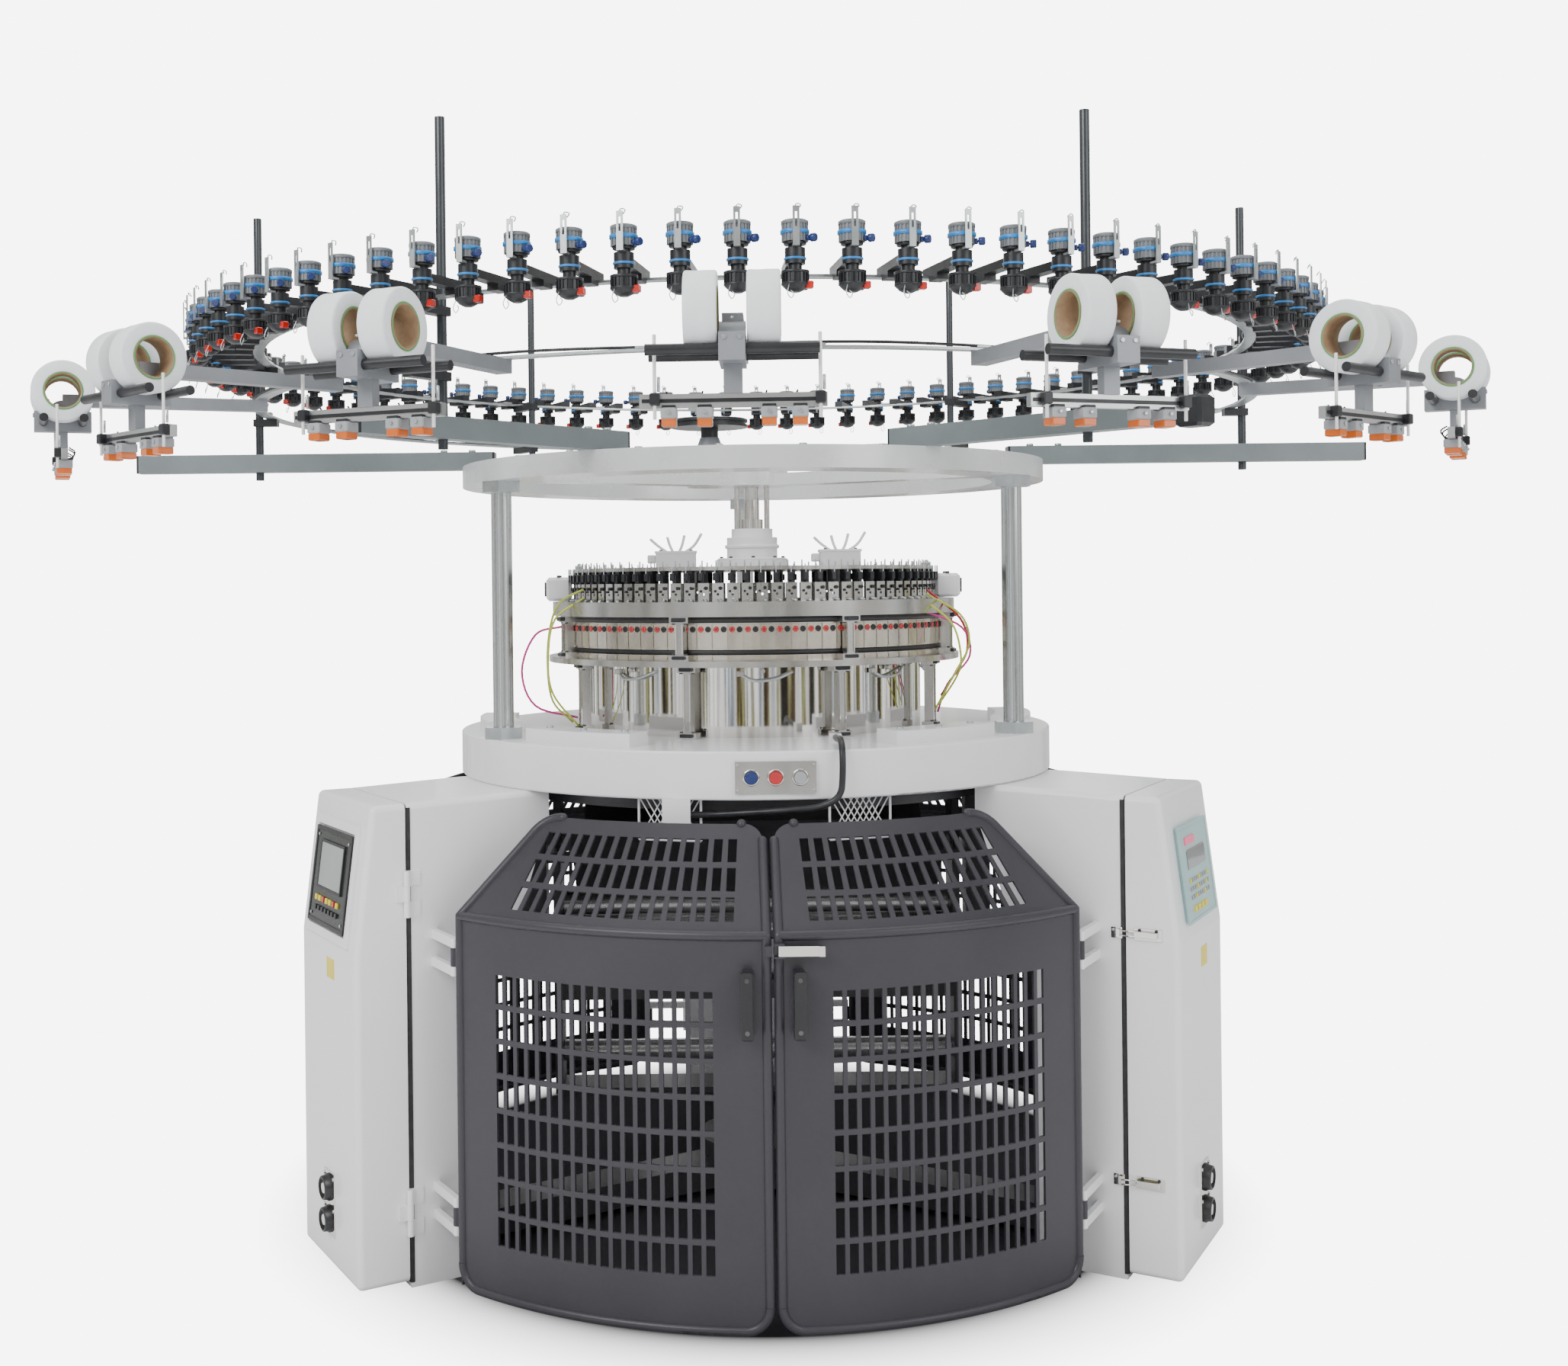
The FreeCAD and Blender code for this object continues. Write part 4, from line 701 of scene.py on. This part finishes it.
# ---- knitting head ---------------------------------------------------------------------------
def draw_screws(bm):
    """Red and black socket screws of one cam segment, and its lower screws."""
    for x, mark in ((-0.0085, 0), (0.0085, 1)):
        place = turned_to((0, -1, 0), (x, -CAM_R - 0.0002, CAM_SCREW_HEIGHT))
        lathe(bm, [(0.0070, 0), (0.0070, 0.0026), (0.0058, 0.0036), (0.0026, 0.0036), (0.0024, 0.0014)],
              10, mark, place)
    for x in (-0.010, 0.010):
        place = turned_to((0, -1, 0), (x, -CAM_R + 0.0078, CAM_FOOT_SCREW_HEIGHT))
        bolt(bm, 0.0035, 0.004, 0.0020, 8, 2, place)
    low, middle, high = CAM_BAND_HEIGHTS
    box(bm, (0.0335, 0.0022, 0.0085), (0, -CAM_R - 0.0008, low), 3)
    box(bm, (0.0335, 0.0016, 0.034), (0, -CAM_R - 0.0006, middle), 3)
    box(bm, (0.0335, 0.0016, 0.019), (0, -CAM_R - 0.0004, high), 3)


def draw_carrier(bm):
    """Small parts of one yarn carrier: pins, eyelets, clamps and a spring."""
    r = PLATE_R
    bar(bm, 0.0018, (-0.006, -r + 0.010, PLATE_TOP - 0.001), (-0.006, -r + 0.010, PLATE_TOP + 0.014), 6, 0)
    bar(bm, 0.0018, (0.008, -r + 0.004, PLATE_TOP - 0.001), (0.008, -r + 0.004, PLATE_TOP + 0.009), 6, 0)
    front = CARRIER_FACE
    bar(bm, 0.0042, (0.006, -front - 0.001, 1.5000), (0.006, -front - 0.006, 1.5000), 8, 1)
    bar(bm, 0.0030, (-0.006, -front - 0.001, 1.4930), (-0.006, -front - 0.004, 1.4930), 8, 1)
    bar(bm, 0.0034, (0.001, -front - 0.002, 1.4740), (0.009, -front - 0.012, 1.4700), 8, 0)
    box(bm, (0.011, 0.012, 0.018), (-0.004, -front - 0.008, 1.5260), 1)
    bar(bm, 0.0015, (-0.004, -front - 0.012, 1.5350), (-0.004, -front - 0.012, 1.5500), 6, 0)


def draw_caps(bm):
    """Black caps and bolts on one azimuth's two brackets."""
    brackets = ((LOWER_BRACKET_R, BED_TOP, DRUM_TOP), (UPPER_BRACKET_R, RIM_TOP, STEEL_TOP - 0.034))
    for radius, low, high in brackets:
        front = radius + 0.015
        box(bm, (0.030, 0.010, 0.010), (0, -front - 0.004, high - 0.006), 0)
        box(bm, (0.030, 0.008, 0.008), (0, -front - 0.003, low + 0.008), 0)
        for x in (-0.015, 0.015):
            for z in (low + 0.0142, high - 0.0172):
                bar(bm, 0.0042, (x, -front + 0.006, z), (x, -front + 0.006, z + 0.003), 8, 1)
        box(bm, (0.003, 0.004, high - low - 0.034), (-0.0075, -front + 0.003, (low + high) / 2), 2)
        box(bm, (0.003, 0.004, high - low - 0.034), (0.0075, -front + 0.003, (low + high) / 2), 2)


def draw_drum_trim(bm):
    """Oil hose, hook and fitting on the drum between two brackets."""
    r = DRUM_FACE
    wire(bm, [(-0.05, -r, DRUM_TOP - 0.020), (-0.02, -r - 0.010, DRUM_TOP - 0.034),
              (0.03, -r - 0.012, DRUM_TOP - 0.030), (0.07, -r + 0.004, DRUM_TOP - 0.014)], 0.0035, 8, 0)
    bar(bm, 0.006, (0.0, -r, DRUM_TOP - 0.012), (0.0, -r - 0.014, DRUM_TOP - 0.012), 8, 1)
    box(bm, (0.018, 0.010, 0.012), (-0.052, -r - 0.002, DRUM_TOP - 0.018), 1)


def add_head():
    """Fasteners, caps, hoses and wires of the knitting head."""
    screws = repeat(draw_screws, [at(a) for a in evenly(FEEDS, 180 / FEEDS)])
    bands = ((CAM_TOP + 0.0006, STEEL_TOP - 0.0345, CAM_R + 0.004), (*CAM_SEAM, CAM_R - 0.001))
    for low, high, radius in bands:
        band = [(radius - 0.002, low), (radius, low), (radius, high), (radius - 0.002, high)]
        lathe_open(screws, band, 120, 1, Matrix())
    piece("cam_screws", screws, "frame", [M["red"], M["gate_trim"], M["dark_steel"], M["cam"]])
    carriers = repeat(draw_carrier, [at(a) for a in evenly(FEEDS, 1.0)])
    piece("carrier_details", carriers, "frame", [M["zinc"], M["black"]])
    caps = repeat(draw_caps, [at(a) for a in evenly(BRACKETS, BRACKET_AZIMUTH)])
    piece("bracket_caps", caps, "frame", [M["black"], M["dark_steel"], M["chrome"]])
    trim = repeat(draw_drum_trim, [at(a) for a in evenly(BRACKETS, BRACKET_AZIMUTH + 22)])
    piece("drum_trim", trim, "frame", [M["zinc"], M["satin"]])
    add_hoses()
    add_boxes()


def around_path(points):
    """Points given as (azimuth, radius, height)."""
    return [at(azimuth, radius, height) @ Vector((0, 0, 0)) for azimuth, radius, height in points]


HOSES = (
    (0, 0.0026, ((-71, 0.475, 1.175), (-69, 0.530, 1.230), (-68, 0.545, 1.320), (-67, 0.540, 1.410),
                 (-65, 0.520, 1.470), (-62, 0.470, 1.500))),
    (0, 0.0026, ((-66, 0.470, 1.165), (-64, 0.545, 1.250), (-63, 0.560, 1.340), (-62, 0.545, 1.430),
                 (-59, 0.480, 1.480))),
    (1, 0.0028, ((-72, 0.460, 1.185), (-75, 0.560, 1.215), (-77, 0.590, 1.300), (-74, 0.560, 1.390),
                 (-70, 0.500, 1.410))),
    (0, 0.0026, ((58, 0.480, 1.480), (60, 0.560, 1.430), (63, 0.570, 1.360), (61, 0.540, 1.290),
                 (64, 0.480, 1.200))),
    (0, 0.0026, ((54, 0.485, 1.470), (57, 0.550, 1.410), (60, 0.560, 1.330), (66, 0.530, 1.280),
                 (68, 0.480, 1.210))),
    (2, 0.0030, ((60, 0.475, 1.490), (66, 0.540, 1.420), (65, 0.560, 1.350), (70, 0.520, 1.290),
                 (71, 0.480, 1.230))),
    (1, 0.0026, ((56, 0.480, 1.440), (62, 0.555, 1.400), (67, 0.560, 1.330), (69, 0.500, 1.260),
                 (72, 0.470, 1.190))),
)


def add_hoses():
    """Thin coloured air and oil tubes at the two sides of the head."""
    bm = bmesh.new()
    for mark, radius, route in HOSES:
        wire(bm, around_path(route), radius, 8, mark)
    piece("air_tubes", bm, "frame", [M["lime_tube"], M["magenta_tube"], M["red"]])


def add_boxes():
    """Lids, plugs and loose cloth ends of the two actuator boxes, and the hub's collar."""
    low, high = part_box("actuator_boxes")
    bm = bmesh.new()
    for middle in (low.x + 0.048, high.x - 0.048):
        box(bm, (0.100, 0.068, 0.006), (middle, -0.270, high.z + 0.002), 0)
        box(bm, (0.020, 0.030, 0.020), (middle - 0.058, -0.275, high.z - 0.014), 0)
        for x in (-0.036, 0.036):
            bar(bm, 0.004, (middle + x, -0.292, high.z + 0.005), (middle + x, -0.292, high.z + 0.008), 8, 2)
        for k in range(4):
            lean = (k - 1.5) * 0.012
            wire(bm, [(middle + lean, -0.262, high.z), (middle + lean * 2.4, -0.268, high.z + 0.018),
                      (middle + lean * 3.4, -0.274, high.z + 0.034 + 0.004 * k)], 0.0035, 6, 1)
    lathe(bm, [(0.066, COLLAR_LOW), (0.069, COLLAR_LOW + 0.002), (0.069, COLLAR_LOW + 0.008),
               (0.066, COLLAR_LOW + 0.010)], 40, 0)
    lathe(bm, [(0.090, PLATE_TOP + 0.020), (0.086, PLATE_TOP + 0.024), (0.066, PLATE_TOP + 0.024)], 40, 0)
    for azimuth in evenly(8):
        place = at(azimuth, 0.078, PLATE_TOP + 0.0235)
        bolt(bm, 0.0045, 0.004, 0.003, 8, 2, place)
    for azimuth in (-88, 88):
        place = at(azimuth, SIDE_BOX_R, SIDE_BOX_HEIGHT)
        box(bm, (0.085, 0.062, 0.060), (0, 0, 0), 0, place)
        box(bm, (0.060, 0.006, 0.036), (0, -0.033, 0), 2, place)
        for x in (-0.034, 0.034):
            bolt(bm, 0.005, 0.004, 0.003, 8, 2, place @ Matrix.Translation((x, 0, 0.030)))
    piece("actuator_trim", bm, "frame", [M["white"], M["paper"], M["dark_steel"]])


# ---- cabinets ---------------------------------------------------------------------------------
def slope_place(azimuth, height):
    """Matrix on the sloped face of a cover, with -Y pointing out of the face."""
    tilt = math.atan2(COVER_R - COVER_TOP_R, COVER_TOP - COVER_BEND)
    share = (height - COVER_BEND) / (COVER_TOP - COVER_BEND)
    radius = COVER_R - share * (COVER_R - COVER_TOP_R)
    return at(azimuth, radius, height) @ Matrix.Rotation(-tilt, 4, "X")


def frame_round(bm, width, height, wall, depth, front, mark, place):
    """A flat frame round a panel."""
    for x in (-1, 1):
        box(bm, (wall, depth, height), (x * (width - wall) / 2, -front, 0), mark, place)
    for z in (-1, 1):
        box(bm, (width - 2 * wall, depth, wall), (0, -front, z * (height - wall) / 2), mark, place)


def add_screen():
    """Grey display, key row and bezel on the left cabinet."""
    place = slope_place(LEGS["left"], PANEL_HEIGHT)
    bm = bmesh.new()
    frame_round(bm, 0.244, 0.214, 0.010, 0.006, 0.0085, 3, place)
    frame_round(bm, 0.290, 0.262, 0.020, 0.010, 0.0035, 5, place)
    box(bm, (0.150, 0.003, 0.096), (0.004, -0.0112, 0.026), 0, place)
    frame_round(bm, 0.162, 0.108, 0.006, 0.004, 0.0117, 3, place @ Matrix.Translation((0.004, 0, 0.026)))
    for index in range(7):
        mark = 2 if index in (2, 5) else 1
        box(bm, (0.013, 0.004, 0.012), (-0.072 + index * 0.0235, -0.0118, -0.050), mark, place)
        box(bm, (0.013, 0.004, 0.010), (-0.072 + index * 0.0235, -0.0118, -0.072), 3, place)
    for x in (-0.100, 0.104):
        for z in (-0.088, 0.088):
            bar(bm, 0.0035, place @ Vector((x, -0.0105, z)), place @ Vector((x, -0.0130, z)), 8, 4)
    piece("screen_details", bm, "cover_left",
          [M["glass"], M["key_yellow"], M["red"], M["gate_trim"], M["zinc"], M["white"]])


def add_membrane():
    """Pink window, key field and lamps on the right cabinet's panel."""
    place = slope_place(LEGS["right"], PANEL_HEIGHT)
    bm = bmesh.new()
    frame_round(bm, 0.240, 0.210, 0.007, 0.005, 0.0085, 4, place)
    box(bm, (0.078, 0.003, 0.016), (-0.040, -0.0112, 0.070), 1, place)
    box(bm, (0.150, 0.002, 0.040), (0.000, -0.0108, 0.028), 5, place)
    for row in range(3):
        for column in range(9):
            mark = 2 if (row + column) % 4 else 3
            spot = (-0.072 + column * 0.018, -0.0112, -0.016 - row * 0.018)
            box(bm, (0.010, 0.003, 0.008), spot, mark, place)
    for column in range(4):
        box(bm, (0.020, 0.003, 0.012), (-0.060 + column * 0.030, -0.0112, -0.078), 3, place)
    for index in range(12):
        spot = place @ Vector((-0.066 + index * 0.012, -0.0112, 0.050))
        bar(bm, 0.0022, spot, spot + Vector((0, 0, 0.0006)), 6, 0)
    piece("membrane_details", bm, "cover_right",
          [M["red"], M["key_pink"], M["sensor"], M["key_yellow"], M["membrane"], M["glass"]])


def draw_latch(bm, height, closed=True):
    """Toggle latch across the seam on a cabinet's free side."""
    x = -LEG_WIDTH / 2
    seam = SEAM_R
    box(bm, (0.003, 0.060, 0.026), (x - 0.0015, -seam - 0.048, height), 0)
    box(bm, (0.009, 0.050, 0.014), (x - 0.0075, -seam - 0.044, height), 0)
    for y in (-0.066, -0.030):
        bar(bm, 0.0035, (x - 0.003, -seam + y, height + 0.009), (x - 0.0055, -seam + y, height + 0.009), 8, 1)
    swing = 0.0 if closed else 0.012
    for z in (-0.005, 0.005):
        bar(bm, 0.0018, (x - 0.008, -seam - 0.030, height + z),
            (x - 0.006 - swing, -seam + 0.012, height + z), 6, 0)


def draw_keeper(bm, height):
    """Catch plate of a latch, on the leg."""
    x = -LEG_WIDTH / 2
    box(bm, (0.003, 0.024, 0.024), (x - 0.0015, -SEAM_R + 0.020, height), 0)
    box(bm, (0.008, 0.008, 0.018), (x - 0.0060, -SEAM_R + 0.016, height), 0)
    bar(bm, 0.0030, (x - 0.003, -SEAM_R + 0.027, height + 0.006),
        (x - 0.0055, -SEAM_R + 0.027, height + 0.006), 8, 1)


def draw_sockets(bm):
    """Two round sockets on a bright plate, low on a cabinet's outer face."""
    box(bm, (0.070, 0.003, 0.140), (0.0, -COVER_R - 0.0012, SOCKET_PLATE_HEIGHT), 0)
    for height in SOCKET_HEIGHTS:
        place = turned_to((0, -1, 0), (0.0, -COVER_R - 0.0020, height))
        lathe(bm, [(0.030, 0), (0.030, 0.004), (0.027, 0.008), (0.026, 0.016), (0.022, 0.018),
                   (0.021, 0.006)], 28, 1, place)
        lathe(bm, [(0.013, 0.004), (0.013, 0.014), (0.011, 0.015)], 20, 0, place)
        for x in (-0.030, 0.030):
            z = height + 0.024
            bar(bm, 0.004, (x, -COVER_R - 0.002, z), (x, -COVER_R - 0.0055, z), 8, 0)


def add_cabinets():
    """Seals, latches, sockets and bare label plates of the three cabinets."""
    for name, azimuth in LEGS.items():
        latches = bmesh.new()
        for height, closed in zip(LATCH_HEIGHTS, (True, name != "right")):
            draw_latch(latches, height, closed)
        draw_sockets(latches)
        box(latches, (0.050, 0.0012, 0.044), (0.02, -COVER_R - 0.0004, LABEL_HEIGHT), 2)
        latches.transform(at(azimuth))
        piece("cover_fittings_" + name, latches, "cover_" + name,
              [M["chrome"], M["gate_trim"], M["key_yellow"]])
        seal = bmesh.new()
        for height in LATCH_HEIGHTS:
            draw_keeper(seal, height)
        inset = 0.006
        y = -SEAM_R + 0.0065
        tall = COVER_TOP - 0.02
        middle = tall / 2 + 0.012
        for x in (-1, 1):
            box(seal, (0.010, 0.006, tall), (x * (LEG_WIDTH / 2 - inset), y - 0.003, middle), 2)
            box(seal, (0.003, 0.008, tall), (x * (LEG_WIDTH / 2 + 0.0004), 0.0068 - SEAM_R, middle), 2)
        for z in (0.017, COVER_TOP - inset - 0.001):
            box(seal, (LEG_WIDTH - 0.032, 0.006, 0.010), (0, y - 0.003, z), 2)
        seal.transform(at(azimuth))
        piece("leg_seal_" + name, seal, "frame", [M["chrome"], M["zinc"], M["seal"]])


# ---- creel and top -----------------------------------------------------------------------------
def add_creel():
    """End caps and bolts of the beams, and the cable along the lower rail."""
    low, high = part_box("creel_beams")
    beam = high.z - low.z
    bm = bmesh.new()
    ends = [((x * BEAM_START[0], y * BEAM_START[1]), (x * BEAM_END[0], y * BEAM_END[1]))
            for x in (-1, 1) for y in (-1, 1)]
    ends += [((x * SIDE_BEAM_START, 0.0), (x * SIDE_BEAM_END, 0.0)) for x in (-1, 1)]
    for (x0, y0), (x1, y1) in ends:
        run = Vector((x1 - x0, y1 - y0, 0)).normalized()
        turn = run.to_track_quat("X", "Z").to_matrix().to_4x4()
        for spot, side in (((x0, y0), -1), ((x1, y1), 1)):
            place = Matrix.Translation((*spot, (low.z + high.z) / 2)) @ turn
            box(bm, (0.006, beam, beam), (side * 0.003 - 0.0005 * side, 0, 0), 0, place)
            box(bm, (0.014, beam - 0.010, beam - 0.010), (-side * 0.005, 0, 0), 0, place)
        for share in (0.06, 0.14):
            spot = (x0 + (x1 - x0) * share, y0 + (y1 - y0) * share, high.z)
            bolt(bm, 0.009, 0.006, 0.007, 6, 1, Matrix.Translation(spot))
    (start_x, start_y), (end_x, end_y) = BEAM_START, BEAM_END
    turn = Vector((end_x - start_x, start_y - end_y, 0)).to_track_quat("X", "Z").to_matrix().to_4x4()
    place = Matrix.Translation((end_x, -end_y, (low.z + high.z) / 2)) @ turn
    box(bm, (0.060, 0.056, 0.060), (0.024, 0, 0), 0, place)
    piece("beam_caps", bm, "frame", [M["black"], M["zinc"]])
    cable = bmesh.new()
    ring = []
    for azimuth in range(-180, 181, 5):
        radius = RAIL_CABLE_R + 0.002 * math.sin(azimuth / 7)
        ring.append((azimuth, radius, LOW_RAIL_TOP + 0.004 + 0.002 * math.sin(azimuth / 5)))
    wire(cable, around_path(ring), 0.0032, 6, 0, steps=2)
    for azimuth in evenly(24, 4):
        box(cable, (0.030, 0.032, 0.004), (0, 0, 0), 1, at(azimuth, RAIL_CLIP_R, LOW_RAIL_TOP + 0.002))
        box(cable, (0.034, 0.034, 0.004), (0, 0, 0), 1, at(azimuth + 3, FEED_CLIP_R, FEED_RAIL_TOP + 0.002))
    piece("rail_cable", cable, "frame", [M["black"], M["zinc"]])


def add_ring_details():
    """Bolts of the top ring and the belt discs' faces."""
    bm = bmesh.new()
    for azimuth in evenly(24, 7.5):
        socket_bolt(bm, 0.009, 0.005, at(azimuth, RING_BOLT_R, RING_TOP - 0.0005))
    for azimuth in evenly(12, 15):
        bolt(bm, 0.007, 0.004, 0.005, 12, 0, at(azimuth, INNER_RING_BOLT_R, RING_TOP - 0.0005))
    piece("ring_bolts", bm, "frame", [M["zinc"]])
    low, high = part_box("drive_pulleys")
    x, y = (low.x + high.x) / 2, (low.y + high.y) / 2
    discs = bmesh.new()
    for height in DISC_FACES:
        place = Matrix.Translation((x, y, height))
        lathe(discs, [(0.030, 0), (0.030, 0.003), (0.024, 0.005)], 24, 0, place)
        for azimuth in evenly(6):
            lathe(discs, [(0.005, -0.0005), (0.005, 0.0035), (0.003, 0.004)], 8, 0,
                  place @ at(azimuth, 0.060))
        rim = [(0.085, 0.0002), (0.0855, 0.0016), (0.0925, 0.0016), (0.093, 0.0002)]
        lathe_open(discs, rim, 48, 0, place)
    piece("disc_details", discs, "belt_drive", [M["zinc"]])


def add_gate_details():
    """Handles and the bolts on them, on each gate."""
    for opening, azimuth in OPENINGS.items():
        for side, sign in (("l", -1), ("r", 1)):
            bm = bmesh.new()
            place = at(azimuth + sign * GRIP_AZIMUTH)
            for height in GRIP_FOOT_HEIGHTS:
                box(bm, (0.021, 0.012, 0.026), (0, -GRIP_R + 0.0105, height), 0, place)
                spot = place @ Vector((0, -GRIP_R - 0.008, height))
                outward = place.to_3x3() @ Vector((0, -1, 0))
                bar(bm, 0.005, spot, spot + outward * 0.002, 10, 1)
            box(bm, (0.0236, 0.0190, 0.1325), (0, -GRIP_R, GRIP_HEIGHT), 0, place)
            piece("gate_grip_%s_%s" % (opening, side), bm, "gate_%s_%s" % (opening, side),
                  [M["gate_trim"], M["dark_steel"]])


def add_bed_details():
    """Bolts on the bed's blocks, button rims and mesh guards under the bed."""
    bm = bmesh.new()
    block_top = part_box("bed_blocks")[1].z
    for centre in OPENINGS.values():
        for side in (-38, 38):
            for offset in (-10, 0, 10):
                socket_bolt(bm, 0.008, 0.004, at(centre + side + offset, BLOCK_BOLT_R, block_top - 0.0005))
    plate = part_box("button_plate")
    middle = (plate[0].z + plate[1].z) / 2
    for x in BUTTON_SPOTS:
        place = turned_to((0, -1, 0), (x, plate[0].y + 0.0006, middle))
        rim = [(0.0134, 0.0), (0.0134, 0.002), (0.0150, 0.003), (0.0180, 0.002), (0.0184, 0.0)]
        lathe_open(bm, rim, 32, 1, place)
    for x in (-0.060, 0.102):
        for z in (-0.027, 0.027):
            lathe(bm, [(0.003, 0), (0.003, 0.0015), (0.002, 0.002)], 8, 0,
                  turned_to((0, -1, 0), (x, plate[0].y + 0.0006, middle + z)))
    piece("bed_bolts", bm, "frame", [M["zinc"], M["chrome"]])
    mesh = bmesh.new()
    for centre in OPENINGS.values():
        for side in (-1, 1):
            draw_guard(mesh, at(centre + side * 17.0))
    piece("mesh_guards", mesh, "frame", [M["white"]])


def draw_guard(bm, place):
    """Small diamond mesh panel hanging under the bed's rim."""
    radius, low, high, half = 0.700, 0.960, 1.051, 0.070
    step = 0.014
    count = int(2 * half / step) + 5
    tall = high - low
    for index in range(-4, count):
        for lean in (-1, 1):
            start = -half + index * step
            x0, x1 = start, start + lean * tall * 0.6
            if min(x0, x1) < -half or max(x0, x1) > half:
                continue
            bar(bm, 0.0016, (x0, -radius, low), (x1, -radius, high), 5, 0, place)
    for x in (-half, half):
        bar(bm, 0.003, (x, -radius, low), (x, -radius, high), 6, 0, place)
    bar(bm, 0.003, (-half, -radius, low), (half, -radius, low), 6, 0, place)


add_camera()
add_studio()
finish_nodes()
add_feeders()
add_units()
add_head()
add_screen()
add_membrane()
add_cabinets()
add_creel()
add_ring_details()
add_gate_details()
add_bed_details()
